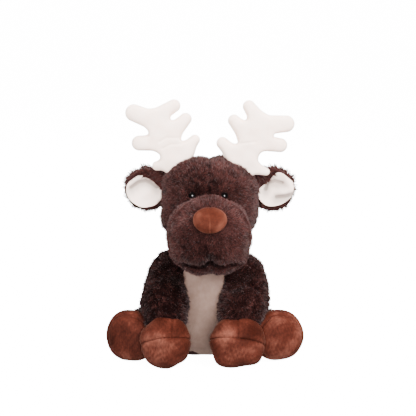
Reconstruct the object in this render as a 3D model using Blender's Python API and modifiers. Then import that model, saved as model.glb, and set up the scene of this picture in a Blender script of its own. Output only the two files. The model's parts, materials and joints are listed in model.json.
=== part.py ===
"""Sitting plush deer with antlers: its sewn skins, their fillings and its small fittings.

Metres, +Z up. The deer faces -Y and sits on the floor plane, with the origin at the middle of its seat.
"Left" is the side at -X. A limb, an ear, an antler and the head each hang under an empty on the axis
that they turn about.
"""
import math

import bmesh
import bpy
from mathutils import Matrix, Vector

# Fabric, fits and cuts
PILE_THICKNESS = 0.0025
VELBOA_THICKNESS = 0.0010
HOOF_THICKNESS = 0.0018
GAP = 0.0003
FLOOR_CUT = 0.0005
OVERRUN = 0.020
WELD_DISTANCE = 0.00001

# Torso, a pear cut flat at the floor and at the neck
TORSO_WIDTH = 0.140
TORSO_DEPTH = 0.120
TORSO_UNCUT_HEIGHT = 0.172
TORSO_TAPER_SHARE = 0.25
TORSO_LEAN = 0.014
TORSO_SINK_SHARE = 0.116
NECK_HEIGHT = 0.137
NECK_OPENING_DIAMETER = 0.044
POUCH_HEIGHT = 0.032
BELLY_WIDTH = 0.066
BELLY_TOP_MARGIN = 0.009
BELLY_FOOT_MARGIN = 0.004

# Head, a ball cut flat at the neck
HEAD_WIDTH = 0.130
HEAD_DEPTH = 0.116
HEAD_HEIGHT = 0.128
HEAD_TAPER_SHARE = 0.08
HEAD_SIDE_SHIFT = 0.007
HEAD_FORWARD = 0.025
NECK_CUT_SHARE = 0.43
NECK_TURN_ANGLES = (-10.0, 10.0)

# Muzzle, sewn on the lower front of the head
MUZZLE_WIDTH = 0.110
MUZZLE_DEPTH = 0.096
MUZZLE_HEIGHT = 0.099
MUZZLE_FORWARD_SHARE = 0.51
MUZZLE_DROP_SHARE = 0.20
CHIN_DROP_SHARE = 0.34
NOSE_WIDTH = 0.041
NOSE_HEIGHT = 0.031
NOSE_THICKNESS = 0.019
NOSE_RISE_ANGLE = 30.0
THREAD_DIAMETER = 0.0012
THREAD_START_ANGLE = 8.0
THREAD_END_ANGLE = -32.0

# Safety eyes
EYE_DIAMETER = 0.0095
EYE_DOME_HEIGHT = 0.0040
EYE_SPACING = 0.0425
EYE_HEIGHT_SHARE = 0.34
STEM_DIAMETER = 0.0040
STEM_LENGTH = 0.0120
WASHER_DIAMETER = 0.0130
WASHER_THICKNESS = 0.0015
WASHER_GRIP = 0.0020

# Ears
EAR_LENGTH = 0.058
EAR_HEIGHT = 0.056
EAR_THICKNESS = 0.016
EAR_RIM = 0.0045
EAR_CUP_DEPTH = 0.0055
EAR_SINK = 0.007
EAR_HEIGHT_SHARE = 0.32
EAR_BACK_SET = 0.014
EAR_FOLD_ANGLES = (-15.0, 20.0)

# Antlers, drawn in their own plane: u outwards, v upwards, as shares of the reach from base to top
ANTLER_REACH = 0.088
ANTLER_THICKNESS = 0.018
ANTLER_EDGE_ROUND = 0.0042
ANTLER_BASE_OUT_SHARE = 0.79
ANTLER_BASE_HEIGHT_SHARE = 0.78
ANTLER_FORWARD_SET = 0.004
TINE_HALF_WIDTH = 0.0090
TOP_TINE_DROOP_SHARES = {"left": -0.070, "right": 0.080}
ANTLER_TILT_ANGLES = {"left": 4.0, "right": 0.0}
CROTCH_ROUND_SHARE = 0.16
TINE_TIP_SHARES = ((-0.39, 0.42), (-0.25, 0.75), (-0.02, 0.98), (0.66, 0.71), (0.55, 0.33), (0.28, -0.05))
CROTCH_SHARES = ((-0.17, 0.34), (-0.01, 0.65), (0.27, 0.78), (0.36, 0.48), (0.15, 0.18))
BASE_SHARES = ((-0.20, -0.10), (0.07, -0.19))
DROOPING_TINE = 3
ANTLER_BEND_ANGLES = (-15.0, 15.0)

# Arms, from the shoulder to the floor in front of the belly
ARM_DIAMETER = 0.056
ARM_SPREAD = 0.109
SHOULDER_SPREAD = 0.076
SHOULDER_HEIGHT_SHARE = 0.84
SHOULDER_FORWARD = 0.008
ARM_REACH = 0.092
ARM_ARCH = 0.017
ARM_BULGE_SHARES = {"left": 0.11, "right": 0.21}
ARM_SWELL_SHARES = (0.45, 0.80, 0.96, 1.03, 1.08, 1.10, 1.02)
PAW_WIDTH = 0.065
PAW_WIDTH_SHARES = {"left": 0.954, "right": 1.046}
PAW_SHIFT_SHARES = {"left": 0.085, "right": -0.192}
PAW_DEPTH = 0.060
PAW_HEIGHT = 0.0655
PAW_SOLE_ANGLE = 24.0
SHOULDER_PIVOT_OUT = 0.014
SHOULDER_PIVOT_FORWARD = 0.010
SHOULDER_AXIS_ANGLE = 6.0
SHOULDER_ANGLES = (0.0, 16.0)

# Hind legs, flat on the floor beside the arms
LEG_DIAMETER = 0.054
HIP_SPREAD = 0.088
HIP_FORWARD = 0.000
FOOT_SPREAD = 0.188
FOOT_FORWARD = 0.071
LEG_SWELL_SHARES = (0.75, 1.0, 1.04, 1.04, 1.0)
FOOT_WIDTH = 0.065
FOOT_DEPTH = 0.046
FOOT_HEIGHT = 0.0655
FOOT_TOE_ANGLE = 16.0
FOOT_SOLE_SHARE = 0.25
HIP_PIVOT_BACK = 0.010
LEG_CLEARANCE = 0.0017
LIFTED_SHARE = 0.30
HIP_ANGLES = (0.0, 30.0)

# Facets and steps of motion
TORSO_DETAIL = (20, 10)
HEAD_DETAIL = (18, 10)
MUZZLE_DETAIL = (16, 10)
PAW_DETAIL = (12, 8)
EAR_DETAIL = (12, 8)
NOSE_DETAIL = (12, 6)
EYE_ROOM_DETAIL = (10, 6)
LIMB_BEVEL_RESOLUTION = 2
OPENING_STEPS = 15
TURNED_STEPS = 12
TIP_STEPS = 4
TINE_STEPS = 3
MOTION_STEP_ANGLE = 15.0

SIDES = {"left": -1.0, "right": 1.0}
FINISHES = {
    "pile": ((0.055, 0.022, 0.019), 0.95),
    "belly": ((0.42, 0.34, 0.30), 0.90),
    "velboa": ((0.88, 0.83, 0.79), 0.85),
    "hoof": ((0.19, 0.055, 0.030), 0.80),
    "nose": ((0.25, 0.075, 0.045), 0.80),
    "filling": ((0.92, 0.92, 0.90), 1.0),
    "pouch": ((0.75, 0.73, 0.68), 0.90),
    "plastic": ((0.012, 0.011, 0.012), 0.15),
    "washer": ((0.80, 0.80, 0.78), 0.45),
    "thread": ((0.040, 0.018, 0.015), 0.70),
}


def clear_scene():
    for obj in list(bpy.data.objects):
        bpy.data.objects.remove(obj, do_unlink=True)


def new_collection(name):
    found = bpy.data.collections.new(name)
    bpy.context.scene.collection.children.link(found)
    return found


def painted(obj, finish):
    """Gives a piece its own Principled material."""
    colour, roughness = FINISHES[finish]
    material = bpy.data.materials.new(obj.name + "_" + finish)
    material.use_nodes = True
    shader = material.node_tree.nodes["Principled BSDF"]
    shader.inputs["Base Color"].default_value = (*colour, 1.0)
    shader.inputs["Roughness"].default_value = roughness
    shader.inputs["Metallic"].default_value = 0.0
    obj.data.materials.clear()
    obj.data.materials.append(material)
    return obj


def as_piece(obj, finish):
    """Moves an object from the cutters to the deer."""
    for holder in list(obj.users_collection):
        holder.objects.unlink(obj)
    DEER.objects.link(obj)
    return painted(obj, finish)


def new_object(name, mesh, location):
    """Adds a mesh as a guide; as_piece makes it part of the deer."""
    obj = bpy.data.objects.new(name, mesh)
    obj.location = location
    CUTTERS.objects.link(obj)
    return obj


def keep_hidden_cutters():
    for obj in CUTTERS.objects:
        obj.hide_render = True
        obj.display_type = "WIRE"


def boolean(obj, other, operation="DIFFERENCE"):
    modifier = obj.modifiers.new(operation.lower() + "_" + other.name, "BOOLEAN")
    modifier.operation = operation
    modifier.solver = "EXACT"
    modifier.object = other


def sliced(bm, point, normal):
    """Cuts off what lies past a plane and closes the cut with a flat face."""
    whole = list(bm.verts) + list(bm.edges) + list(bm.faces)
    bmesh.ops.bisect_plane(bm, geom=whole, plane_co=point, plane_no=normal, clear_outer=True)
    rim = [edge for edge in bm.edges if edge.is_boundary]
    if rim:
        bmesh.ops.holes_fill(bm, edges=rim, sides=0)
        bmesh.ops.recalc_face_normals(bm, faces=bm.faces)


def finished(bm, name):
    bmesh.ops.triangulate(bm, faces=[face for face in bm.faces if len(face.verts) > 4])
    mesh = bpy.data.meshes.new(name)
    bm.to_mesh(mesh)
    bm.free()
    mesh.shade_smooth()
    return mesh


def ball(name, centre, half_sizes, grow, detail, turn=0.0, taper_share=0.0, lean=0.0, cuts=()):
    """A soft swelling form: an ellipsoid, narrower upwards by its taper and leaning forwards.

    grow makes it larger or smaller all round. Each cut is a world point and the normal of what goes.
    """
    bm = bmesh.new()
    bmesh.ops.create_uvsphere(bm, u_segments=detail[0], v_segments=detail[1], radius=1.0)
    heading = Matrix.Rotation(math.radians(turn), 3, "Z")
    for vertex in bm.verts:
        unit = vertex.co.copy()
        width = 1.0 - taper_share * unit.z
        across = unit.x * width * (half_sizes[0] + grow)
        back = unit.y * width * (half_sizes[1] + grow)
        place = heading @ Vector((across, back, 0.0))
        place.y -= lean * (unit.z + 1.0) / 2
        place.z = unit.z * (half_sizes[2] + grow)
        vertex.co = place
    for point, normal in cuts:
        sliced(bm, Vector(point) - Vector(centre), Vector(normal))
    return new_object(name, finished(bm, name), centre)


def slab(name, centre, sizes, rotation=None):
    """A box cutter."""
    bm = bmesh.new()
    bmesh.ops.create_cube(bm, size=1.0)
    bmesh.ops.scale(bm, vec=sizes, verts=bm.verts)
    obj = new_object(name, finished(bm, name), centre)
    if rotation is not None:
        obj.rotation_euler = rotation.to_euler()
    return obj


def rod(name, centre, diameter, length, direction, steps):
    """A cylinder cutter along a direction."""
    bm = bmesh.new()
    bmesh.ops.create_cone(
        bm, cap_ends=True, segments=steps, radius1=diameter / 2, radius2=diameter / 2, depth=length
    )
    obj = new_object(name, finished(bm, name), centre)
    obj.rotation_euler = Vector(direction).to_track_quat("Z", "Y").to_euler()
    return obj


def turned(name, profile, centre, direction, closed=False):
    """A turned piece: its profile runs down the outer side and a Screw modifier turns it."""
    mesh = bpy.data.meshes.new(name)
    points = [(radius, 0.0, height) for radius, height in profile]
    edges = [(index, index + 1) for index in range(len(points) - 1)]
    if closed:
        edges.append((len(points) - 1, 0))
    mesh.from_pydata(points, edges, [])
    obj = new_object(name, mesh, centre)
    obj.rotation_euler = Vector(direction).to_track_quat("Z", "Y").to_euler()
    screw = obj.modifiers.new("turn", "SCREW")
    screw.steps = TURNED_STEPS
    screw.render_steps = TURNED_STEPS
    screw.use_merge_vertices = True
    screw.merge_threshold = WELD_DISTANCE
    screw.use_smooth_shade = True
    return obj


def meshed(curve_object):
    """Turns a curve object into a mesh object with welded caps."""
    name = curve_object.name
    bpy.context.view_layer.update()
    matrix = curve_object.matrix_world.copy()
    evaluated = curve_object.evaluated_get(bpy.context.evaluated_depsgraph_get())
    mesh = bpy.data.meshes.new_from_object(evaluated)
    bpy.data.objects.remove(curve_object, do_unlink=True)
    bm = bmesh.new()
    bm.from_mesh(mesh)
    bmesh.ops.remove_doubles(bm, verts=bm.verts, dist=WELD_DISTANCE)
    bmesh.ops.recalc_face_normals(bm, faces=bm.faces)
    bm.to_mesh(mesh)
    bm.free()
    mesh.shade_smooth()
    obj = new_object(name, mesh, (0.0, 0.0, 0.0))
    obj.matrix_world = matrix
    return obj


def limb_tube(name, path, radii, bevel_resolution):
    """A swelling tube through points, each with its own radius."""
    data = bpy.data.curves.new(name, "CURVE")
    data.dimensions = "3D"
    data.bevel_depth = 1.0
    data.bevel_resolution = bevel_resolution
    data.use_fill_caps = True
    spline = data.splines.new("POLY")
    spline.points.add(len(path) - 1)
    for point, place, radius in zip(spline.points, path, radii):
        point.co = (*place, 1.0)
        point.radius = radius
    curve = bpy.data.objects.new(name, data)
    CUTTERS.objects.link(curve)
    return meshed(curve)


def turned_about(obj, pivot, axis, angle, name):
    """A copy of a form turned about a joint's axis, sharing its mesh."""
    copy = bpy.data.objects.new(name, obj.data)
    CUTTERS.objects.link(copy)
    to_pivot = Matrix.Translation(pivot)
    turn = Matrix.Rotation(math.radians(angle), 4, axis)
    copy.matrix_world = to_pivot @ turn @ to_pivot.inverted() @ Matrix.Translation(obj.location)
    return copy


def motion_angles(limits):
    """Angles from one end of a range to the other, at most one motion step apart."""
    low, high = limits
    count = max(1, math.ceil((high - low) / MOTION_STEP_ANGLE))
    return [low + (high - low) * index / count for index in range(count + 1)]


def clearing_copies(form, pivot, axis, limits):
    """What a fixed form sweeps through, seen from the piece that turns beside it."""
    copies = []
    for index, angle in enumerate(motion_angles(limits)):
        copies.append(turned_about(form, pivot, axis, -angle, form.name + "_seen_" + str(index)))
    return copies


def hung_on(pivot_name, pivot, pieces):
    """Parents pieces to an empty on their joint's axis, leaving them where they are."""
    empty = bpy.data.objects.new(pivot_name, None)
    empty.location = pivot
    DEER.objects.link(empty)
    bpy.context.view_layer.update()
    for piece in pieces:
        piece.parent = empty
        piece.matrix_parent_inverse = empty.matrix_world.inverted()
    return empty


# Places that several pieces share

def torso_centre():
    return Vector((0.0, 0.0, TORSO_UNCUT_HEIGHT * (0.5 - TORSO_SINK_SHARE)))


def head_centre():
    rise = NECK_HEIGHT + HEAD_HEIGHT * NECK_CUT_SHARE
    return Vector((HEAD_SIDE_SHIFT, -HEAD_FORWARD, rise))


def neck_pivot():
    return Vector((HEAD_SIDE_SHIFT / 2, -HEAD_FORWARD / 2, NECK_HEIGHT))


def muzzle_centre():
    forward = HEAD_DEPTH * MUZZLE_FORWARD_SHARE
    drop = HEAD_HEIGHT * MUZZLE_DROP_SHARE
    return head_centre() + Vector((0.0, -forward, -drop))


def muzzle_point(rise, grow):
    """The point of the muzzle's middle line at an angle above its centre, grown outwards."""
    angle = math.radians(rise)
    ahead = (MUZZLE_DEPTH / 2 + grow) * math.cos(angle)
    up = (MUZZLE_HEIGHT / 2 + grow) * math.sin(angle)
    return muzzle_centre() + Vector((0.0, -ahead, up))


# The forms, each at any growth, from which skins, fillings and clearances are made

def torso_form(name, grow, floor=None, top=None):
    low = -grow if floor is None else floor
    high = NECK_HEIGHT - GAP + grow if top is None else top
    half = (TORSO_WIDTH / 2, TORSO_DEPTH / 2, TORSO_UNCUT_HEIGHT / 2)
    cuts = (((0.0, 0.0, low), (0.0, 0.0, -1.0)), ((0.0, 0.0, high), (0.0, 0.0, 1.0)))
    return ball(
        name, torso_centre(), half, grow, TORSO_DETAIL,
        taper_share=TORSO_TAPER_SHARE, lean=TORSO_LEAN, cuts=cuts,
    )


def head_form(name, grow):
    half = (HEAD_WIDTH / 2, HEAD_DEPTH / 2, HEAD_HEIGHT / 2)
    cuts = (((0.0, 0.0, NECK_HEIGHT - grow), (0.0, 0.0, -1.0)),)
    return ball(name, head_centre(), half, grow, HEAD_DETAIL, taper_share=HEAD_TAPER_SHARE, cuts=cuts)


def muzzle_form(name, grow, cuts=()):
    half = (MUZZLE_WIDTH / 2, MUZZLE_DEPTH / 2, MUZZLE_HEIGHT / 2)
    return ball(name, muzzle_centre(), half, grow, MUZZLE_DETAIL, cuts=cuts)


def build_torso():
    skin = as_piece(torso_form("torso_skin", 0.0), "pile")
    hollow = torso_form("torso_hollow", -PILE_THICKNESS)
    neck_middle = Vector((0.0, neck_pivot().y, NECK_HEIGHT))
    opening = rod("neck_opening", neck_middle, NECK_OPENING_DIAMETER, OVERRUN, (0.0, 0.0, 1.0), OPENING_STEPS)
    boolean(skin, hollow)
    boolean(skin, opening)
    boolean(skin, belly_window("belly_window", GAP))
    panel = as_piece(torso_form("belly_panel", 0.0), "belly")
    boolean(panel, hollow)
    boolean(panel, belly_window("belly_cut", 0.0), "INTERSECT")
    inset = -(PILE_THICKNESS + GAP)
    filling = as_piece(torso_form("torso_filling", inset, floor=POUCH_HEIGHT + GAP), "filling")
    pouch = as_piece(torso_form("pellet_pouch", inset, top=POUCH_HEIGHT), "pouch")
    return [skin, panel, filling, pouch]


def belly_window(name, grow):
    """An upright oval prism through the front of the torso."""
    foot = BELLY_FOOT_MARGIN
    top = NECK_HEIGHT - BELLY_TOP_MARGIN
    depth = TORSO_DEPTH
    centre = Vector((0.0, -depth / 2 - TORSO_LEAN, (foot + top) / 2))
    window = rod(name, centre, 1.0, depth / 2, (0.0, 1.0, 0.0), TORSO_DETAIL[0])
    window.data.transform(Matrix.Diagonal((BELLY_WIDTH + 2 * grow, top - foot + 2 * grow, 1.0, 1.0)))
    window.rotation_euler = (math.radians(90.0), 0.0, 0.0)
    return window


def eye_places():
    """For each side, the eye's point on the head's surface and the outward direction there."""
    centre = head_centre()
    half = Vector((HEAD_WIDTH / 2, HEAD_DEPTH / 2, HEAD_HEIGHT / 2))
    width_share = 1.0 - HEAD_TAPER_SHARE * EYE_HEIGHT_SHARE
    across_share = EYE_SPACING / 2 / (half.x * width_share)
    forward_share = math.sqrt(1.0 - EYE_HEIGHT_SHARE ** 2 - across_share ** 2) * width_share
    places = {}
    for side, sign in SIDES.items():
        offset = Vector((sign * EYE_SPACING / 2, -half.y * forward_share, half.z * EYE_HEIGHT_SHARE))
        outward = Vector((offset.x / half.x ** 2, offset.y / half.y ** 2, offset.z / half.z ** 2))
        places[side] = (centre + offset, outward.normalized())
    return places


def build_eye(side, place, outward, head_pieces):
    """A domed eye on its ribbed stem, and the washer that locks it behind the fabric."""
    dome = EYE_DIAMETER / 2
    stem = STEM_DIAMETER / 2
    arc = [math.radians(90.0 - 90.0 * index / TIP_STEPS) for index in range(TIP_STEPS + 1)]
    profile = [(dome * math.cos(angle), EYE_DOME_HEIGHT * math.sin(angle)) for angle in arc]
    profile[0] = (0.0, EYE_DOME_HEIGHT)
    profile += [(stem, 0.0), (stem, -STEM_LENGTH), (0.0, -STEM_LENGTH)]
    eye = as_piece(turned("eye_" + side, profile, place + outward * GAP, outward), "plastic")
    grip_depth = PILE_THICKNESS + WASHER_GRIP
    middle = place - outward * (grip_depth + WASHER_THICKNESS / 2)
    outer = WASHER_DIAMETER / 2
    inner = stem + GAP
    half = WASHER_THICKNESS / 2
    ring = [(outer, half), (outer, -half), (inner, -half), (inner, half)]
    washer = as_piece(turned("eye_washer_" + side, ring, middle, outward, closed=True), "washer")
    room = rod(
        "washer_room_" + side, middle, WASHER_DIAMETER + 2 * GAP, WASHER_THICKNESS + 2 * GAP, outward, TURNED_STEPS
    )
    hole_length = 2 * (STEM_LENGTH + GAP)
    hole = rod("stem_hole_" + side, place, STEM_DIAMETER + 2 * GAP, hole_length, outward, TURNED_STEPS)
    for piece in head_pieces:
        boolean(piece, hole)
        boolean(piece, room)
    return [eye, washer]


def build_head():
    skin = as_piece(head_form("head_skin", 0.0), "pile")
    boolean(skin, head_form("head_hollow", -PILE_THICKNESS))
    middle = Vector((HEAD_SIDE_SHIFT, -HEAD_FORWARD, NECK_HEIGHT))
    boolean(skin, rod("head_opening", middle, NECK_OPENING_DIAMETER, OVERRUN, (0.0, 0.0, 1.0), OPENING_STEPS))
    filling = as_piece(head_form("head_filling", -(PILE_THICKNESS + GAP)), "filling")
    pieces = [skin, filling]
    for side, (place, outward) in eye_places().items():
        pieces += build_eye(side, place, outward, (skin, filling))
    return pieces


def build_muzzle(head_room):
    """The muzzle's skin above the mouth line, the chin below it, their filling, nose and thread."""
    mouth = muzzle_centre() + Vector((0.0, 0.0, -MUZZLE_HEIGHT * CHIN_DROP_SHARE))
    up = (0.0, 0.0, 1.0)
    down = (0.0, 0.0, -1.0)
    hollow = muzzle_form("muzzle_hollow", -PILE_THICKNESS)
    skin = as_piece(muzzle_form("muzzle_skin", 0.0, cuts=((mouth, down),)), "pile")
    chin = as_piece(muzzle_form("chin_panel", 0.0, cuts=((mouth - Vector((0.0, 0.0, GAP)), up),)), "pile")
    filling = as_piece(muzzle_form("muzzle_filling", -(PILE_THICKNESS + GAP)), "filling")
    boolean(skin, hollow)
    boolean(chin, hollow)
    for piece in (skin, chin, filling):
        boolean(piece, head_room)
    for side, (place, outward) in eye_places().items():
        half = EYE_DIAMETER / 2 + GAP
        room = ball("eye_room_" + side, place, (half, half, half), 0.0, EYE_ROOM_DETAIL)
        boolean(skin, room)
        boolean(filling, room)
    half = (NOSE_WIDTH / 2, NOSE_THICKNESS / 2, NOSE_HEIGHT / 2)
    nose = as_piece(ball("nose", muzzle_point(NOSE_RISE_ANGLE, 0.0), half, 0.0, NOSE_DETAIL), "nose")
    nose.rotation_euler = (math.radians(-NOSE_RISE_ANGLE), 0.0, 0.0)
    boolean(nose, muzzle_form("nose_seat", GAP))
    return [skin, chin, filling, nose, build_thread()]


def build_thread():
    """The thread down the muzzle's middle line, from under the nose to the mouth."""
    clear = THREAD_DIAMETER / 2 + GAP
    steps = 2 * TIP_STEPS
    angles = [THREAD_START_ANGLE + (THREAD_END_ANGLE - THREAD_START_ANGLE) * index / steps for index in range(steps + 1)]
    path = [muzzle_point(angle, clear) for angle in angles]
    thread = limb_tube("philtrum_thread", path, [THREAD_DIAMETER / 2] * len(path), 1)
    return as_piece(thread, "thread")


def build_ear(side, sign, head_room):
    """A cupped ear: a furry back that wraps the rim, and the lining set into it."""
    side_share = math.sqrt(1.0 - EAR_HEIGHT_SHARE ** 2) * (1.0 - HEAD_TAPER_SHARE * EAR_HEIGHT_SHARE)
    across = sign * HEAD_WIDTH / 2 * side_share
    root = head_centre() + Vector((across, EAR_BACK_SET, HEAD_HEIGHT / 2 * EAR_HEIGHT_SHARE))
    centre = root + Vector((sign * (EAR_LENGTH / 2 - EAR_SINK), 0.0, 0.0))
    half = Vector((EAR_LENGTH / 2, EAR_THICKNESS / 2, EAR_HEIGHT / 2))
    inner = Vector((half.x - EAR_RIM, half.y, half.z - EAR_RIM))
    forward = Vector((0.0, -EAR_CUP_DEPTH, 0.0))
    back = as_piece(ball("ear_back_" + side, centre, half, 0.0, EAR_DETAIL), "pile")
    boolean(back, ball("ear_cup_" + side, centre + forward, inner, 0.0, EAR_DETAIL))
    lining = as_piece(ball("ear_lining_" + side, centre + forward, inner, -GAP, EAR_DETAIL), "velboa")
    layer = Vector((0.0, -VELBOA_THICKNESS - GAP, 0.0))
    boolean(lining, ball("ear_lining_hollow_" + side, centre + forward + layer, inner, 0.0, EAR_DETAIL))
    boolean(lining, ball("ear_outline_" + side, centre, half, -GAP, EAR_DETAIL), "INTERSECT")
    pieces = [back, lining]
    axis = Vector((0.0, 0.0, -sign))
    for room in clearing_copies(head_room, root, axis, EAR_FOLD_ANGLES):
        for piece in pieces:
            boolean(piece, room)
    hung_on("ear_pivot_" + side, root, pieces)


def rounded_crotch(before, corner, after):
    """Two points that take off the sharp corner between two tines."""
    return [corner.lerp(before, CROTCH_ROUND_SHARE), corner.lerp(after, CROTCH_ROUND_SHARE)]


def tine_arc(tip, base, half_width):
    """The round end of a tine, from its inner to its outer edge."""
    along = (tip - base).normalized()
    centre = tip - along * half_width
    heading = math.atan2(along.y, along.x)
    points = []
    for index in range(TINE_STEPS + 1):
        angle = heading + math.pi / 2 - math.pi * index / TINE_STEPS
        points.append(centre + Vector((math.cos(angle), math.sin(angle))) * half_width)
    return points


def antler_outline(droop):
    """The antler's closed outline in its plane, walked from the inner base to the outer base."""
    tips = [Vector(share) * ANTLER_REACH for share in TINE_TIP_SHARES]
    tips[DROOPING_TINE].y -= droop
    crotches = [Vector(share) * ANTLER_REACH for share in CROTCH_SHARES]
    inner_base, outer_base = [Vector(share) * ANTLER_REACH for share in BASE_SHARES]
    corners = [inner_base] + crotches + [outer_base]
    arcs = []
    for index, tip in enumerate(tips):
        arcs.append(tine_arc(tip, (corners[index] + corners[index + 1]) / 2, TINE_HALF_WIDTH))
    outline = [inner_base]
    for index, arc in enumerate(arcs):
        outline += arc
        if index < len(crotches):
            outline += rounded_crotch(arc[-1], crotches[index], arcs[index + 1][0])
    return outline + [outer_base]


def antler_form(name, side, base, grow):
    """The stuffed antler as a slab with rounded edges, grown or shrunk all round."""
    sign = SIDES[side]
    outline = antler_outline(TOP_TINE_DROOP_SHARES[side] * ANTLER_REACH)
    data = bpy.data.curves.new(name, "CURVE")
    data.dimensions = "2D"
    data.fill_mode = "BOTH"
    data.offset = grow - ANTLER_EDGE_ROUND
    data.extrude = ANTLER_THICKNESS / 2 + grow - ANTLER_EDGE_ROUND
    data.bevel_depth = ANTLER_EDGE_ROUND
    data.bevel_resolution = 0
    spline = data.splines.new("POLY")
    spline.points.add(len(outline) - 1)
    spline.use_cyclic_u = True
    for point, place in zip(spline.points, outline):
        point.co = (sign * place.x, place.y, 0.0, 1.0)
    curve = bpy.data.objects.new(name, data)
    curve.location = base
    curve.rotation_euler = (math.radians(90.0), math.radians(ANTLER_TILT_ANGLES[side]), 0.0)
    CUTTERS.objects.link(curve)
    return meshed(curve)


def build_antler(side, sign, head_room):
    """Front and back panels round one filling, open where the antler is sewn into the head."""
    out = HEAD_WIDTH / 2 * ANTLER_BASE_OUT_SHARE
    rise = HEAD_HEIGHT / 2 * ANTLER_BASE_HEIGHT_SHARE
    base = head_centre() + Vector((sign * out, -ANTLER_FORWARD_SET, rise))
    hollow = antler_form("antler_hollow_" + side, side, base, -VELBOA_THICKNESS)
    size = Vector((4 * ANTLER_REACH, ANTLER_THICKNESS, 4 * ANTLER_REACH))
    step = Vector((0.0, ANTLER_THICKNESS / 2 + GAP / 2, 0.0))
    behind = slab("antler_behind_" + side, base + step, size)
    before = slab("antler_before_" + side, base - step, size)
    front = as_piece(antler_form("antler_front_" + side, side, base, 0.0), "velboa")
    back = as_piece(antler_form("antler_back_" + side, side, base, 0.0), "velboa")
    inset = -(VELBOA_THICKNESS + GAP)
    filling = as_piece(antler_form("antler_filling_" + side, side, base, inset), "filling")
    boolean(front, hollow)
    boolean(front, before, "INTERSECT")
    boolean(back, hollow)
    boolean(back, behind, "INTERSECT")
    pieces = [front, back, filling]
    for room in clearing_copies(head_room, base, Vector((1.0, 0.0, 0.0)), ANTLER_BEND_ANGLES):
        for piece in pieces:
            boolean(piece, room)
    hung_on("antler_pivot_" + side, base, pieces)


def bent_path(start, bend, end, count):
    """Points along a smooth curve from start to end, pulled towards the bend."""
    points = []
    for index in range(count):
        share = index / (count - 1)
        points.append(start.lerp(bend, share).lerp(bend.lerp(end, share), share))
    return points


def extended(path):
    """The same path with its two ends run on a little."""
    first = path[0] + (path[0] - path[1]).normalized() * OVERRUN / 4
    last = path[-1] + (path[-1] - path[-2]).normalized() * OVERRUN / 4
    return [first] + path[1:-1] + [last]


def tube_radii(diameter, swell_shares, grow):
    return [diameter / 2 * share + grow for share in swell_shares]


def build_limb(names, side, path, diameter, swell_shares, hoof, sole_cut, torso_rooms, arm_rooms=()):
    """Sleeve, hoof upper, sole and filling of one limb. hoof(name, grow) makes the hoof's form."""
    sleeve_name, hoof_name, sole_name, filling_name = [name + "_" + side for name in names]
    radii = tube_radii(diameter, swell_shares, 0.0)
    inner_radii = tube_radii(diameter, swell_shares, -PILE_THICKNESS)
    core_radii = tube_radii(diameter, swell_shares, -(PILE_THICKNESS + GAP))
    bore = limb_tube(sleeve_name + "_bore", extended(path), inner_radii, LIMB_BEVEL_RESOLUTION)
    sleeve = as_piece(limb_tube(sleeve_name, path, radii, LIMB_BEVEL_RESOLUTION), "pile")
    for room in list(torso_rooms) + list(arm_rooms):
        boolean(sleeve, room)
    boolean(sleeve, hoof(hoof_name + "_room", GAP))
    boolean(sleeve, bore)
    hollow = hoof(hoof_name + "_hollow", -HOOF_THICKNESS)
    upper = as_piece(hoof(hoof_name, 0.0), "hoof")
    sole = as_piece(hoof(sole_name, 0.0), "hoof")
    for piece in (upper, sole):
        for room in arm_rooms:
            boolean(piece, room)
        boolean(piece, hollow)
        boolean(piece, bore)
    boolean(upper, sole_cut(sole_name + "_side", GAP))
    boolean(sole, sole_cut(sole_name + "_cut", 0.0), "INTERSECT")
    filling = as_piece(limb_tube(filling_name, path, core_radii, LIMB_BEVEL_RESOLUTION), "filling")
    boolean(filling, hoof(hoof_name + "_core", -(HOOF_THICKNESS + GAP)), "UNION")
    for room in list(torso_rooms) + list(arm_rooms):
        boolean(filling, room)
    return [sleeve, upper, sole, filling]


def paw_centre(side, sign):
    across = sign * ARM_SPREAD / 2 + PAW_SHIFT_SHARES[side] * PAW_WIDTH
    return Vector((across, -(SHOULDER_FORWARD + ARM_REACH), PAW_HEIGHT / 2 - FLOOR_CUT))


def paw_form(name, side, sign, grow):
    half = (PAW_WIDTH_SHARES[side] * PAW_WIDTH / 2, PAW_DEPTH / 2, PAW_HEIGHT / 2)
    cuts = (((0.0, 0.0, -grow), (0.0, 0.0, -1.0)),)
    return ball(name, paw_centre(side, sign), half, grow, PAW_DETAIL, cuts=cuts)


def paw_sole_cut(name, side, sign, grow):
    """The half space below the tilted seam of a front hoof."""
    tilt = math.radians(PAW_SOLE_ANGLE)
    deep = 2 * PAW_HEIGHT
    down = Vector((0.0, -math.sin(tilt), -math.cos(tilt)))
    centre = paw_centre(side, sign) + down * (deep / 2 - grow)
    return slab(name, centre, Vector((deep, deep, deep)), Matrix.Rotation(-tilt, 3, "X"))


def shoulder_axis(sign):
    tilt = math.radians(SHOULDER_AXIS_ANGLE)
    return Vector((-math.cos(tilt), 0.0, sign * math.sin(tilt)))


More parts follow.
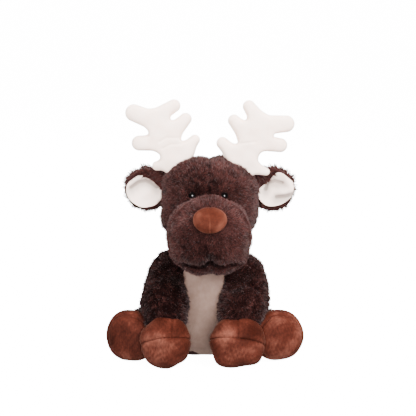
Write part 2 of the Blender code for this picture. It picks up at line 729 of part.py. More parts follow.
def build_arm(side, sign, torso_room):
    """Builds a front leg and returns the room that it takes beside the hind leg."""
    start = Vector((sign * SHOULDER_SPREAD / 2, -SHOULDER_FORWARD, NECK_HEIGHT * SHOULDER_HEIGHT_SHARE))
    end = paw_centre(side, sign)
    bend = start.lerp(end, 0.5) + Vector((sign * ARM_BULGE_SHARES[side] * ARM_REACH, -ARM_ARCH / 2, ARM_ARCH))
    path = bent_path(start, bend, end, len(ARM_SWELL_SHARES))
    pivot = start + Vector((sign * SHOULDER_PIVOT_OUT, -SHOULDER_PIVOT_FORWARD, 0.0))
    rooms = clearing_copies(torso_room, pivot, shoulder_axis(sign), SHOULDER_ANGLES)
    pieces = build_limb(
        ("arm_sleeve", "arm_hoof", "arm_sole", "arm_filling"), side, path, ARM_DIAMETER, ARM_SWELL_SHARES,
        lambda name, grow: paw_form(name, side, sign, grow),
        lambda name, grow: paw_sole_cut(name, side, sign, grow), rooms,
    )
    hung_on("shoulder_pivot_" + side, pivot, pieces)
    clear_radii = tube_radii(ARM_DIAMETER, ARM_SWELL_SHARES, LEG_CLEARANCE)
    sleeve_room = limb_tube("arm_room_" + side, path, clear_radii, LIMB_BEVEL_RESOLUTION)
    paw_room = paw_form("paw_room_" + side, side, sign, LEG_CLEARANCE)
    lifted = SHOULDER_ANGLES[1] * LIFTED_SHARE
    lifted_room = turned_about(sleeve_room, pivot, shoulder_axis(sign), lifted, "arm_room_lifted_" + side)
    return [sleeve_room, paw_room, lifted_room]


def foot_centre(sign):
    return Vector((sign * FOOT_SPREAD / 2, -FOOT_FORWARD, FOOT_HEIGHT / 2 - FLOOR_CUT))


def foot_form(name, sign, grow):
    half = (FOOT_WIDTH / 2, FOOT_DEPTH / 2, FOOT_HEIGHT / 2)
    cuts = (((0.0, 0.0, -grow), (0.0, 0.0, -1.0)),)
    return ball(name, foot_centre(sign), half, grow, PAW_DETAIL, turn=sign * FOOT_TOE_ANGLE, cuts=cuts)


def foot_sole_cut(name, sign, grow):
    """The half space in front of a hind hoof's ring seam."""
    deep = 2 * FOOT_HEIGHT
    turn = Matrix.Rotation(math.radians(sign * FOOT_TOE_ANGLE), 3, "Z")
    ahead = turn @ Vector((0.0, -1.0, 0.0))
    centre = foot_centre(sign) + ahead * (deep / 2 + FOOT_DEPTH * FOOT_SOLE_SHARE - grow)
    return slab(name, centre, Vector((deep, deep, deep)), turn)


def build_leg(side, sign, torso_room, arm_rooms):
    end = foot_centre(sign)
    start = Vector((sign * HIP_SPREAD / 2, -HIP_FORWARD, LEG_DIAMETER / 2 + GAP))
    path = bent_path(start, start.lerp(end, 0.5), end, len(LEG_SWELL_SHARES))
    pivot = start + Vector((0.0, HIP_PIVOT_BACK, 0.0))
    rooms = clearing_copies(torso_room, pivot, Vector((0.0, 0.0, sign)), HIP_ANGLES)
    pieces = build_limb(
        ("leg_sleeve", "leg_hoof", "leg_sole", "leg_filling"), side, path, LEG_DIAMETER, LEG_SWELL_SHARES,
        lambda name, grow: foot_form(name, sign, grow),
        lambda name, grow: foot_sole_cut(name, sign, grow), rooms, arm_rooms,
    )
    hung_on("hip_pivot_" + side, pivot, pieces)


def build_deer():
    build_torso()
    head_room = head_form("head_room", GAP)
    torso_room = torso_form("torso_room", GAP)
    head_pieces = build_head() + build_muzzle(head_room)
    hung_on("neck_pivot", neck_pivot(), head_pieces)
    for side, sign in SIDES.items():
        build_ear(side, sign, head_room)
        build_antler(side, sign, head_room)
        arm_rooms = build_arm(side, sign, torso_room)
        build_leg(side, sign, torso_room, arm_rooms)
    keep_hidden_cutters()


clear_scene()
DEER = new_collection("plush_deer")
CUTTERS = new_collection("cutters")
build_deer()
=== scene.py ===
"""Looks of the sitting plush deer: combed pile, velboa antlers, padded hooves, glossy eyes and a sewn nose.

Metres, +Z up. The deer faces -Y and "left" is the side at -X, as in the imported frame. The stuffed forms are
worked out from the boxes of the CAD nodes that they replace, and the pile is real geometry: each piece of
pile fabric is a soft base with tufts that lean along its nap.
"""
import json
import math

import bmesh
import bpy
import numpy as np
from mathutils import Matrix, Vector


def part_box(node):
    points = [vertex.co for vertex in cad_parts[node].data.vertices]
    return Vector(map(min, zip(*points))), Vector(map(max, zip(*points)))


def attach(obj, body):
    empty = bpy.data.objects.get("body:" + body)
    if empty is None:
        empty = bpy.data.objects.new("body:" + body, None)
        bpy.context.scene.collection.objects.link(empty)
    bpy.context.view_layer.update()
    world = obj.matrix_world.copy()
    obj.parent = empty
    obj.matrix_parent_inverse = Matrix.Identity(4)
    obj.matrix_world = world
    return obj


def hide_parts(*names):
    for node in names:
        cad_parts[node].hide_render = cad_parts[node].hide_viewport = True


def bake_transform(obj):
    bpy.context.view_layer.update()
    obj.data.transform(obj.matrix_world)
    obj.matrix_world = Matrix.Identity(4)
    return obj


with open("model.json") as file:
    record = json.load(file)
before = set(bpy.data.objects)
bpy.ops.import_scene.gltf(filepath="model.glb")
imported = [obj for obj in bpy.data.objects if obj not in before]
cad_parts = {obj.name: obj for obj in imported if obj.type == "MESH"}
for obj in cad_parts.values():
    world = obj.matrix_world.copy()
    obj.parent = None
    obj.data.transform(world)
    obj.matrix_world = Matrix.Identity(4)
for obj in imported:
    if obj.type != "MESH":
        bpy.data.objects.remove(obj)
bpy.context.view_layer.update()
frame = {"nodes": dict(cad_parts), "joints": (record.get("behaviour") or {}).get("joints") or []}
SIDES = {"left": -1.0, "right": 1.0}
PIVOTS = {joint["name"]: np.array(joint["pos_m"]) for joint in frame["joints"]}

# Camera, at the photograph's viewing angle
CAMERA_RISE_ANGLE = 10.0
CAMERA_DISTANCE = 1.5
CAMERA_TARGET = (0.0046, 0.0, 0.185)
FRAME_PIXELS = 416
FOCAL_PIXELS = 1130.4
SENSOR_WIDTH = 36.0

# Pile: its lean is in degrees, mess is how much its lie wanders and ragged how much its length varies
PILE_WORDS = ("length", "width", "spacing", "lean", "mess", "ragged")
BODY_PILE = dict(zip(PILE_WORDS, (0.0037, 0.0012, 0.00094, 46.0, 0.28, 0.40)))
FACE_PILE = dict(zip(PILE_WORDS, (0.0031, 0.0011, 0.00087, 44.0, 0.26, 0.35)))
EAR_PILE = dict(zip(PILE_WORDS, (0.0050, 0.0017, 0.00108, 42.0, 0.40, 0.40)))
PILE_STAND = 0.0022
TUFT_SINK = 0.0008
CLUMP_SIZE = 0.0075
LOCK_SIZE = 0.0032
LOCK_LIFT = 0.28
SWIRL_SIZE = 0.040
NORMAL_SPREAD = 0.42

# Torso
TORSO_TAPER_SHARE = 0.25
TORSO_WIDEST_SHARE = 1.03
TORSO_HALF_DEPTH = 0.060
TORSO_LEAN = 0.014
TORSO_UNCUT_HEIGHT = 0.172
TORSO_SINK_SHARE = 0.116
SEAT_SWELL = 0.012
BELLY_SQUARENESS = (2.6, 9.0)
BELLY_DROP = 1.08
BELLY_PROUD = 0.0012
BELLY_THICKNESS = 0.0020

# Head: the fullness is how square it and the muzzle are, 2 for a plain oval
FULLNESS = 2.35
HEAD_SHOWN_SHARE = 0.93
HEAD_SEAM_DEPTH = 0.0034
HEAD_SEAM_WIDTH = 0.0032
CORNER_SWELLS = {"left": 0.0050, "right": 0.0030}
JAW_SHIFT = 0.0016
CHEEK_SWELL = 0.0026
EYE_SOCKET_DEPTH = 0.0022
EYE_SOCKET_WIDTH = 0.0100
EYE_RADIUS = 0.0047
EYE_DOME = 0.0042
EYE_PROUD = 0.0018
EYE_SHIFTS = {"left": (-0.0006, 0.0, 0.0), "right": (-0.0034, -0.0010, 0.0)}

TOP_SWELL = 0.0020
TOP_SWELL_MORE_LEFT = 0.0008
TOP_SWELL_OUT = 0.020
TOP_SWELL_WIDTH = 0.016
# Painted light and shade on the head's pile, lighter where light falls and darker in shade, with a lighter
# patch where the pile parts: middle, radius and amount
HEAD_LIGHT_AND_SHADE_SPOTS = (
    ((0.0147, -0.052, 0.2450), 0.009, 0.26), ((-0.002, -0.065, 0.229), 0.022, -0.28),
    ((0.056, -0.045, 0.196), 0.018, 0.42), ((-0.043, -0.045, 0.200), 0.020, 0.32),
    ((0.046, -0.040, 0.225), 0.016, 0.10),
)

# Muzzle
MUZZLE_DEPTH_SHARE = 0.873
MUZZLE_HEIGHT_SHARE = 0.900
RIM_ANGLES = (72.0, 66.0, 80.0)
RIM_RISE = 0.0026
RIM_WIDTH = 0.0026
MOUTH_DEPTH = 0.0042
MOUTH_WIDTH = 0.0026
MOUTH_RAISE = 0.0008
MOUTH_PEAK = 0.0050
MOUTH_PEAK_WIDTH = 0.0060
MOUTH_HALF_LENGTH = 0.036
GROOVE_DEPTH = 0.0044
GROOVE_WIDTH = 0.0044
LIP_SWELL = 0.0026
LIP_ABOVE = 0.011
LIP_WIDTH = 0.009
LIP_OUT = 0.018
LIP_LENGTH = 0.016
CHIN_BELOW = 0.0075
CHIN_WIDTH = 0.0050
CHIN_HALF_LENGTH = 0.030
CHIN_THICKNESS = 0.0035
# Painted light and shade on the muzzle's pile, lighter on its lit sides and darker in shade below the nose:
# middle, radius and amount
MUZZLE_LIGHT_AND_SHADE_SPOTS = (
    ((-0.028, -0.108, 0.191), 0.016, 0.38), ((-0.037, -0.098, 0.156), 0.018, 0.50),
    ((0.042, -0.104, 0.180), 0.015, 0.42), ((0.033, -0.112, 0.143), 0.014, 0.32),
    ((0.001, -0.127, 0.150), 0.017, -0.20), ((0.050, -0.090, 0.160), 0.012, 0.20),
)
THREAD_FALLS = (-3.0, 42.0)
THREAD_RADIUS = 0.0005
THREAD_PROUD = 0.0003
NOSE_FULLNESS = 2.15
NOSE_HALF = (0.0208, 0.0095, 0.0165)
NOSE_CAD_HALF_HEIGHT = 0.0155
NOSE_RISE_ANGLE = 30.0
NOSE_PROUD = 0.0022

# Ears: the lining's reach from its middle, from the head's side up, outwards and down
EAR_HALF_LENGTH = 0.029
EAR_SINK = 0.007
EAR_SQUARENESS = 3.2
EAR_FRONT = 0.0064
EAR_CUP = 0.0060
EAR_ROLL = 0.0028
LINING_CUP = 0.0046
LINING_FOLD_WIDTH = 0.0022
LINING_FOLD_DEPTH = 0.0015
LINING_SHADOW_DROP = 0.003
LINING_SHADOW_WIDTH = 0.0070
LINING_THICKNESS = 0.0012
LINING_REACH_SHARES = {
    "left": (
        0.845, 0.660, 0.614, 0.630, 0.724, 0.770, 0.782, 0.815,
        0.800, 0.763, 0.718, 0.710, 0.727, 0.737, 0.805, 0.858,
    ),
    "right": (
        0.852, 0.650, 0.580, 0.640, 0.820, 0.811, 0.780, 0.817,
        0.825, 0.715, 0.645, 0.645, 0.688, 0.773, 0.860, 0.900,
    ),
}
LINING_SETS = {"left": (0.0044, -0.0029), "right": (0.0062, -0.0016)}
LINING_FOLDS = {
    "left": (
        ((-0.0167, 0.0060), (-0.0093, 0.0115)), ((-0.0093, 0.0115), (-0.0024, 0.0145)),
        ((-0.0024, 0.0145), (0.0068, 0.0129)), ((0.0068, 0.0129), (0.0169, 0.0060)),
    ),
    "right": (
        ((0.0065, 0.0103), (-0.0037, 0.0132)), ((-0.0037, 0.0132), (-0.0124, 0.0103)),
        ((-0.0124, 0.0103), (-0.0153, 0.0016)), ((0.0225, -0.0028), (0.0109, -0.0071)),
        ((0.0109, -0.0071), (-0.0008, -0.0086)),
    ),
}

# Antlers: each limb runs from (out, up, half width) to (out, up, half width), measured from the antler's root
ANTLER_LIMBS = {
    "left": (
        ((0.0130, 0.0545, 0.0148), (0.0050, 0.0370, 0.0158)),
        ((0.0050, 0.0370, 0.0158), (-0.0030, 0.0180, 0.0128)),
        ((-0.0030, 0.0180, 0.0125), (-0.0080, 0.0000, 0.0130)),
        ((0.0200, 0.0615, 0.0118), (0.0460, 0.0720, 0.0106)),
        ((0.0175, 0.0672, 0.0100), (-0.0054, 0.0812, 0.0077)),
        ((-0.0058, 0.0491, 0.0104), (-0.0202, 0.0642, 0.0073)),
        ((0.0120, 0.0335, 0.0100), (0.0396, 0.0330, 0.0092)),
        ((-0.0190, 0.0225, 0.0104), (-0.0320, 0.0374, 0.0061)),
        ((-0.0200, 0.0215, 0.0098), (-0.0130, 0.0070, 0.0120)),
        ((0.0020, 0.0060, 0.0085), (0.0172, 0.0036, 0.0054)),
    ),
    "right": (
        ((0.0100, 0.0540, 0.0142), (0.0030, 0.0380, 0.0155)),
        ((0.0030, 0.0380, 0.0155), (-0.0030, 0.0190, 0.0128)),
        ((-0.0030, 0.0190, 0.0125), (-0.0080, 0.0000, 0.0130)),
        ((0.0190, 0.0565, 0.0120), (0.0466, 0.0579, 0.0103)),
        ((0.0113, 0.0622, 0.0108), (-0.0012, 0.0802, 0.0075)),
        ((-0.0075, 0.0480, 0.0108), (-0.0203, 0.0620, 0.0074)),
        ((0.0090, 0.0338, 0.0098), (0.0393, 0.0303, 0.0086)),
        ((-0.0205, 0.0182, 0.0100), (-0.0350, 0.0330, 0.0074)),
        ((-0.0205, 0.0182, 0.0100), (-0.0130, 0.0060, 0.0120)),
        ((0.0030, 0.0020, 0.0092), (0.0212, -0.0042, 0.0042)),
    ),
}
ANTLER_CREASES = {
    "left": (
        ((0.0130, 0.0360), (0.0040, 0.0410)), ((0.0040, 0.0410), (-0.0102, 0.0410)),
        ((0.0091, 0.0268), (0.0001, 0.0320)), ((0.0001, 0.0320), (-0.0167, 0.0333)),
        ((0.0170, 0.0005), (0.0100, -0.0040)),
    ),
    "right": (((-0.0120, 0.0333), (0.0069, 0.0359)),),
}
ANTLER_JOIN = 0.0072
ANTLER_CELL = 0.0010
ANTLER_FULLNESS = 0.0100
ANTLER_SWELL = 0.0006
ANTLER_RIPPLE = 0.0003
ANTLER_RIPPLE_SIZE = 0.012
ANTLER_CREASE_DEPTH = 0.0009
ANTLER_CREASE_WIDTH = 0.0016

# Limbs
ARM_DIAMETER = 0.056
ARM_SWELL_SHARES = {
    "left": (0.64, 0.92, 0.98, 1.04, 1.09, 1.10, 1.05),
    "right": (0.64, 0.97, 1.04, 1.11, 1.15, 1.12, 1.06),
}
ARM_ARCH = 0.017
ARM_REACH = 0.092
ARM_BULGE_SHARES = {"left": 0.082, "right": 0.222}
ARM_END_SET = (0.0, 0.018, 0.020)
# Painted shade on the arm and leg pile, which lies in the head's shadow, deeper on the left, away from the
# light
SLEEVE_PAINTED_SHADE = {"left": 0.35, "right": 0.20}
FOLD_OUT = 0.0505
FOLD_HEIGHT = 0.1015
FOLD_BEND = 22.0
FOLD_HALF_LENGTH = 0.024
FOLD_PUFF = 0.0020
FOLD_DEPTH = 0.0022
FOLD_WIDTH = 0.0026
FOLD_STRENGTHS = {"left": 0.35, "right": 1.0}
SHOULDER_SET = (0.008, -0.010, 0.0)
SHOULDER_LIMIT_ANGLE = 16.0
NECK_LIMIT_ANGLE = 10.0
ARM_ROOM = 0.0058
ARM_DENT_LIMIT = 0.009
LEG_DIAMETER = 0.054
LEG_SWELL_SHARES = (0.75, 1.0, 1.04, 1.04, 1.0)
HIP_SET = (0.0, 0.010, 0.0)
PAW_SOLE_ANGLE = 28.0
PAW_HALF = (0.030, 0.03275)
PAW_SEAM_DROP = 0.003
PAW_AHEAD = 0.082
MIDDLE_SEAM_SETS = {"left": 0.009, "right": 0.0}
HOOF_LUMP = 0.0007
HOOF_LUMP_SIZE = 0.018
HOOF_ROLL = 0.0008
SEAM_DEPTH = 0.0011
SEAM_WIDTH = 0.0010
MIDDLE_SEAM_DEPTH = 0.0008
MIDDLE_SEAM_WIDTH = 0.0012
FOOT_PLACE = (0.094, -0.071, 0.03225)
FOOT_HALF = (0.0325, 0.023, 0.03275)
FOOT_TOE_ANGLE = 16.0
FOOT_SEAM_FORWARD = 0.0115
NO_SEAM = 1.0
PAW_SQUARENESS = {"left": 2.8, "right": 3.3}
FOOT_SQUARENESS = 2.5

# Painted light and shade on the hooves, with patches where their nap lies lighter or darker: across and up as
# shares of the hoof, radius and amount
HOOF_NAP_LIGHT_AND_SHADE_SPOTS = {
    ("arm", "left"): (
        (-0.40, 0.35, 0.35, 0.16), (0.40, 0.50, 0.35, -0.26), (-0.30, -0.50, 0.50, 0.16),
        (0.65, -0.20, 0.28, -0.18), (-0.10, 0.95, 0.30, -0.18), (0.30, 0.10, 0.10, 0.22),
    ),
    ("arm", "right"): (
        (-0.50, 0.45, 0.36, 0.30), (0.50, 0.50, 0.38, -0.28), (-0.10, 0.90, 0.25, -0.22),
        (0.05, -0.12, 0.45, 0.10), (0.25, -0.70, 0.40, -0.12), (0.60, -0.20, 0.22, 0.14),
    ),
    ("leg", "left"): ((0.0, 0.1, 1.6, -0.20), (-0.30, -0.60, 0.35, 0.14), (0.2, -0.85, 0.30, 0.10)),
    ("leg", "right"): (
        (0.95, 0.15, 0.36, 0.34), (0.10, -0.70, 0.45, 0.22), (0.42, 0.30, 0.28, -0.26),
        (-0.40, 0.45, 0.50, -0.12),
    ),
}

# Floor: flat near the deer, then curved up into a round wall
FLOOR_REACH = 9.0
FLOOR_CURVE = 3.0
FLOOR_WALL = 12.0
FLOOR_GLOW = 14.0

# Light: name, place, size, watts and whether it shows in gloss
WORLD_STRENGTH = 2.0
LIGHT_AIM = (0.0, 0.0, 0.17)
LIGHTS = (
    ("key", (1.0, -1.3, 1.5), 0.9, 125.0, False), ("fill", (-1.3, -1.0, 0.9), 0.9, 30.0, False),
    ("front", (0.1, -1.7, 0.5), 0.8, 45.0, True), ("top", (0.0, 0.0, 1.9), 1.0, 64.0, False),
    ("back", (0.5, 1.6, 1.1), 1.0, 34.0, False),
)


# Numbers and fields

def clamped(value, low=0.0, high=1.0):
    return np.minimum(np.maximum(value, low), high)


def smooth(value, start, end):
    """Rises softly from 0 at start to 1 at end."""
    share = clamped((value - start) / (end - start))
    return share * share * (3 - 2 * share)


def hump(distance, width):
    return np.exp(-((distance / width) ** 2))


def unit(vectors):
    return vectors / np.maximum(np.linalg.norm(vectors, axis=-1, keepdims=True), 1e-12)


def dot(first, second):
    return (first * second).sum(-1)


def field(points, seed, size, waves=20):
    """A smooth random field of about unit strength whose patches are about the given size."""
    rng = np.random.default_rng(seed)
    directions = unit(rng.normal(size=(waves, 3)))
    rates = 2 * math.pi / (2 * size) * rng.uniform(0.5, 1.5, (waves, 1))
    phases = rng.uniform(0, 2 * math.pi, waves)
    return np.sin(points @ (directions * rates).T + phases).sum(1) / math.sqrt(waves / 2)


def flow(points, seed, size):
    return np.stack([field(points, seed + k, size) for k in range(3)], 1)


def spotlight(points, spots):
    """Adds up soft spots, each given as (middle, radius, amount)."""
    total = np.zeros(len(points))
    for middle, radius, amount in spots:
        total += amount * hump(np.linalg.norm(points - np.array(middle), axis=1), radius)
    return total


def to_segment(places, start, end):
    """How far flat places lie from a straight piece of line."""
    start, end = np.array(start), np.array(end)
    step = end - start
    share = clamped(((places - start) @ step) / (step @ step))
    return np.linalg.norm(places - start - share[:, None] * step, axis=1)


def creased(places, segments, width):
    """1 on a row of crease lines, fading to 0 beside them."""
    away = np.min([to_segment(places, start, end) for start, end in segments], 0)
    return hump(away, width)


def closed_curve(values, angles):
    """A smooth closed run through evenly spaced values."""
    waves = np.fft.rfft(values) / len(values)
    total = np.full(len(angles), waves[0].real)
    for k in range(1, len(waves)):
        weight = 1.0 if 2 * k == len(values) else 2.0
        total += weight * (waves[k].real * np.cos(k * angles) - waves[k].imag * np.sin(k * angles))
    return total


def box(*nodes):
    """The lowest and highest corner of several CAD nodes together."""
    corners = [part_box(node) for node in nodes]
    low = np.min([np.array(pair[0]) for pair in corners], 0)
    high = np.max([np.array(pair[1]) for pair in corners], 0)
    return low, high


# Meshes

def sphere(level):
    """Unit directions and triangles of an even ball."""
    bm = bmesh.new()
    bmesh.ops.create_icosphere(bm, subdivisions=level, radius=1.0)
    points = np.array([vertex.co[:] for vertex in bm.verts])
    faces = np.array([[vertex.index for vertex in face.verts] for face in bm.faces])
    bm.free()
    return unit(points), faces


def squared(directions, power):
    """How far a squared-off ball reaches in each direction: 1 everywhere at power 2."""
    return (np.abs(directions) ** power).sum(1) ** (-1 / power)


def normals_of(points, faces):
    corners = points[faces]
    across = np.cross(corners[:, 1] - corners[:, 0], corners[:, 2] - corners[:, 0])
    total = np.zeros_like(points)
    for k in range(3):
        np.add.at(total, faces[:, k], across)
    return unit(total)


def outward(points, faces):
    """Turns the triangles round if the closed form they make is inside out."""
    corners = (points - points.mean(0))[faces]
    volume = dot(corners[:, 0], np.cross(corners[:, 1], corners[:, 2])).sum()
    return faces if volume > 0 else faces[:, ::-1]


def thickened(points, faces, depth):
    """Closes an open patch: a second layer lies deeper, and a wall joins the two along the edge."""
    used, faces = np.unique(faces, return_inverse=True)
    faces = faces.reshape(-1, 3)
    points = points[used]
    inner = points - depth * normals_of(points, faces)
    edges = np.concatenate([faces[:, [0, 1]], faces[:, [1, 2]], faces[:, [2, 0]]])
    keys = edges[:, 0] * len(points) + edges[:, 1]
    mirrored = edges[:, 1] * len(points) + edges[:, 0]
    rim = edges[~np.isin(keys, mirrored)]
    count = len(points)
    wall = np.concatenate([
        np.stack([rim[:, 1], rim[:, 0], rim[:, 0] + count], 1),
        np.stack([rim[:, 1], rim[:, 0] + count, rim[:, 1] + count], 1),
    ])
    return np.concatenate([points, inner]), np.concatenate([faces, faces[:, ::-1] + count, wall])


def disc_faces(rings, spokes):
    """Triangles of a disc made of a middle point and rings of spokes."""
    now = np.arange(spokes)
    after = (now + 1) % spokes
    faces = [np.stack([np.zeros(spokes, int), 1 + now, 1 + after], 1)]
    for ring in range(rings - 1):
        inner, outer = 1 + ring * spokes, 1 + (ring + 1) * spokes
        faces.append(np.stack([inner + now, outer + now, outer + after], 1))
        faces.append(np.stack([inner + now, outer + after, inner + after], 1))
    return np.concatenate(faces)


def disc_places(rings, spokes):
    """The share of the radius and the angle of each point of that disc."""
    shares = np.arange(1, rings + 1).repeat(spokes) / rings
    angles = np.tile(np.arange(spokes) * 2 * math.pi / spokes, rings)
    return np.concatenate([[0.0], shares]), np.concatenate([[0.0], angles])


def new_mesh(name, points, faces, normals=None, uvs=None, **values):
    """A mesh of triangles, with its soft normals, its texture map and the values its material reads."""
    mesh = bpy.data.meshes.new(name)
    mesh.vertices.add(len(points))
    mesh.vertices.foreach_set("co", np.ascontiguousarray(points, dtype=np.float32).ravel())
    mesh.loops.add(faces.size)
    mesh.loops.foreach_set("vertex_index", np.ascontiguousarray(faces, dtype=np.int32).ravel())
    mesh.polygons.add(len(faces))
    mesh.polygons.foreach_set("loop_start", np.arange(0, faces.size, 3, dtype=np.int32))
    mesh.update(calc_edges=True)
    mesh.validate()
    mesh.shade_smooth()
    for word, value in values.items():
        layer = mesh.attributes.new(word, "FLOAT", "POINT")
        layer.data.foreach_set("value", value.astype(np.float32))
    layer = mesh.uv_layers.new(name="OFBake")
    uvs = box_map(points, faces) if uvs is None else uvs
    layer.data.foreach_set("uv", np.ascontiguousarray(uvs, dtype=np.float32).ravel())
    if normals is not None:
        mesh.normals_split_custom_set_from_vertices(normals.tolist())
    return mesh


def new_piece(name, mesh, material):
    obj = bpy.data.objects.new(name, mesh)
    bpy.context.scene.collection.objects.link(obj)
    mesh.materials.append(material)
    return obj


def box_map(points, faces):
    """Texture coordinates by the six sides of a box, each side in its own cell."""
    corners = points[faces]
    across = np.cross(corners[:, 1] - corners[:, 0], corners[:, 2] - corners[:, 0])
    axis = np.abs(across).argmax(1)
    cell = axis * 2 + (across[np.arange(len(faces)), axis] > 0)
    low, high = points.min(0), points.max(0)
    share = (corners - low) / (high - low)
    pairs = np.array([[1, 2], [0, 2], [0, 1]])[axis]
    u = np.take_along_axis(share, pairs[:, None, :1].repeat(3, 1), 2)[..., 0]
    v = np.take_along_axis(share, pairs[:, None, 1:].repeat(3, 1), 2)[..., 0]
    margin = 0.04
    u = (cell % 3)[:, None] + margin + u * (1 - 2 * margin)
    v = (cell // 3)[:, None] + margin + v * (1 - 2 * margin)
    return np.stack([u / 3, v / 2], 2)


# Pile

def scattered(points, faces, normals, spacing, rng):
    """Evenly spread roots over a surface: their triangle, their weights in it, places and normals."""
    corners = points[faces]
    areas = np.linalg.norm(np.cross(corners[:, 1] - corners[:, 0], corners[:, 2] - corners[:, 0]), axis=1) / 2
    count = int(areas.sum() / spacing ** 2)
    ladder = np.cumsum(areas) / areas.sum()
    picks = np.searchsorted(ladder, (np.arange(count) + rng.uniform(0, 1, count)) / count)
    picks = np.minimum(picks, len(faces) - 1)
    first, second = rng.uniform(0, 1, (2, count))
    flip = first + second > 1
    first[flip], second[flip] = 1 - first[flip], 1 - second[flip]
    weights = np.stack([1 - first - second, first, second], 1)
    roots = (corners[picks] * weights[..., None]).sum(1)
    ups = unit((normals[faces[picks]] * weights[..., None]).sum(1))
    return picks, weights, roots, ups


def tufted(name, points, faces, material, pile, comb, keep, seed, tone=None):
    """A soft base with tufts of pile: each is a three sided cone that leans along the nap."""
    rng = np.random.default_rng(seed)
    normals = normals_of(points, faces)
    picks, weights, roots, ups = scattered(points, faces, normals, pile["spacing"], rng)
    size = keep(roots, ups)
    chosen = size > 0.08
    roots, ups, size = roots[chosen], ups[chosen], size[chosen]
    picks, weights = picks[chosen], weights[chosen]
    count = len(roots)
    wander = flow(roots, seed + 10, CLUMP_SIZE) + 0.7 * flow(roots, seed + 20, SWIRL_SIZE)
    along = unit(comb(roots, ups)) + pile["mess"] * wander + 0.25 * rng.normal(size=(count, 3))
    along = unit(along - dot(along, ups)[:, None] * ups)
    side = np.cross(ups, along)
    lean = np.radians(pile["lean"] + 8 * field(roots, seed + 30, CLUMP_SIZE) + rng.normal(0, 7, count))
    length = pile["length"] * size * (1 + pile["ragged"] * rng.uniform(-1.0, 0.8, count))
    length = length * (1 + LOCK_LIFT * clamped(field(roots, seed + 60, LOCK_SIZE), -1.5, 1.8))
    radius = pile["width"] / 2 * rng.uniform(0.8, 1.2, count) * np.sqrt(size)
    tips = roots + length[:, None] * (np.cos(lean)[:, None] * ups + np.sin(lean)[:, None] * along)
    spin = rng.uniform(0, 2 * math.pi, count)
    facing = unit(ups + NORMAL_SPREAD * rng.normal(size=(count, 3)))
    parts, soft = [], []
    for k in range(3):
        angle = spin + 2 * math.pi * k / 3
        ring = np.cos(angle)[:, None] * side + np.sin(angle)[:, None] * along
        parts.append(roots - TUFT_SINK * ups + radius[:, None] * ring)
        soft.append(unit(facing + 0.20 * ring))
    tuft_points = np.stack([*parts, tips], 1).reshape(-1, 3)
    tuft_normals = np.stack([*soft, unit(facing + 0.25 * along)], 1).reshape(-1, 3)
    pattern = np.array([(1, 0, 3), (2, 1, 3), (0, 2, 3)])
    tuft_faces = (np.arange(count)[:, None, None] * 4 + pattern[None] + len(points)).reshape(-1, 3)
    base_uvs = box_map(points, faces)
    tuft_uvs = (base_uvs[picks] * weights[..., None]).sum(1)
    spread = np.array([(0.0, 0.0), (0.0002, 0.0), (0.0, 0.0002)])
    tuft_uvs = (tuft_uvs[:, None, None, :] + spread[None, None]).repeat(3, 1).reshape(-1, 3, 2)
    shade = 0.5 + 0.09 * field(roots, seed + 40, CLUMP_SIZE) + 0.12 * field(roots, seed + 50, LOCK_SIZE)
    shade = shade + rng.normal(0, 0.14, count)
    # painted shade: the base under the tufts is darker than them
    base_shade = np.full(len(points), 0.3)
    if tone is not None:
        shade = shade + tone(roots)
        base_shade = base_shade + tone(points)
    mesh = new_mesh(
        name,
        np.concatenate([points, tuft_points]),
        np.concatenate([faces, tuft_faces]),
        np.concatenate([normals, tuft_normals]),
        np.concatenate([base_uvs, tuft_uvs]),
        tip=np.concatenate([np.zeros(len(points)), np.tile([0.0, 0.0, 0.0, 1.0], count)]),
        tone=clamped(np.concatenate([base_shade, shade.repeat(4)])),
    )
    return new_piece(name, mesh, material)


# Materials

def new_material(name):
    material = bpy.data.materials.new(name)
    material.use_nodes = True
    return material, material.node_tree.nodes, material.node_tree.links


def object_place(nodes):
    return nodes.new("ShaderNodeTexCoord").outputs["Object"]


def read(nodes, word):
    """What a mesh holds under a name, as a node's output."""
    node = nodes.new("ShaderNodeAttribute")
    node.attribute_name = word
    return node.outputs["Fac"]


def noise(nodes, links, coordinates, scale, detail=3.0, roughness=0.55):
    node = nodes.new("ShaderNodeTexNoise")
    node.inputs["Scale"].default_value = scale
    node.inputs["Detail"].default_value = detail
    node.inputs["Roughness"].default_value = roughness
    links.new(coordinates, node.inputs["Vector"])
    return node.outputs["Fac"]


def ramp(nodes, links, value, stops):
    """A colour ramp over a value, from (place, colour) stops."""
    node = nodes.new("ShaderNodeValToRGB")
    while len(node.color_ramp.elements) < len(stops):
        node.color_ramp.elements.new(0.5)
    for element, (place, colour) in zip(node.color_ramp.elements, stops):
        element.position = place
        element.color = (*colour, 1.0)
    links.new(value, node.inputs["Fac"])
    return node.outputs["Color"]


def multiplied(nodes, links, first, second):
    node = nodes.new("ShaderNodeMix")
    node.data_type = "RGBA"
    node.blend_type = "MULTIPLY"
    node.inputs[0].default_value = 1.0
    links.new(first, node.inputs[6])
    links.new(second, node.inputs[7])
    return node.outputs[2]


def grey(level):
    return (level, level, level)


def bumped(nodes, links, shader, height, strength, distance):
    bump = nodes.new("ShaderNodeBump")
    bump.inputs["Strength"].default_value = strength
    bump.inputs["Distance"].default_value = distance
    links.new(height, bump.inputs["Height"])
    links.new(bump.outputs["Normal"], shader.inputs["Normal"])


def finished(shader, roughness, specular, sheen=0.0, tint=(1.0, 1.0, 1.0), sheen_roughness=0.4):
    shader.inputs["Roughness"].default_value = roughness
    shader.inputs["Specular IOR Level"].default_value = specular
    shader.inputs["Sheen Weight"].default_value = sheen
    shader.inputs["Sheen Roughness"].default_value = sheen_roughness
    shader.inputs["Sheen Tint"].default_value = (*tint, 1.0)


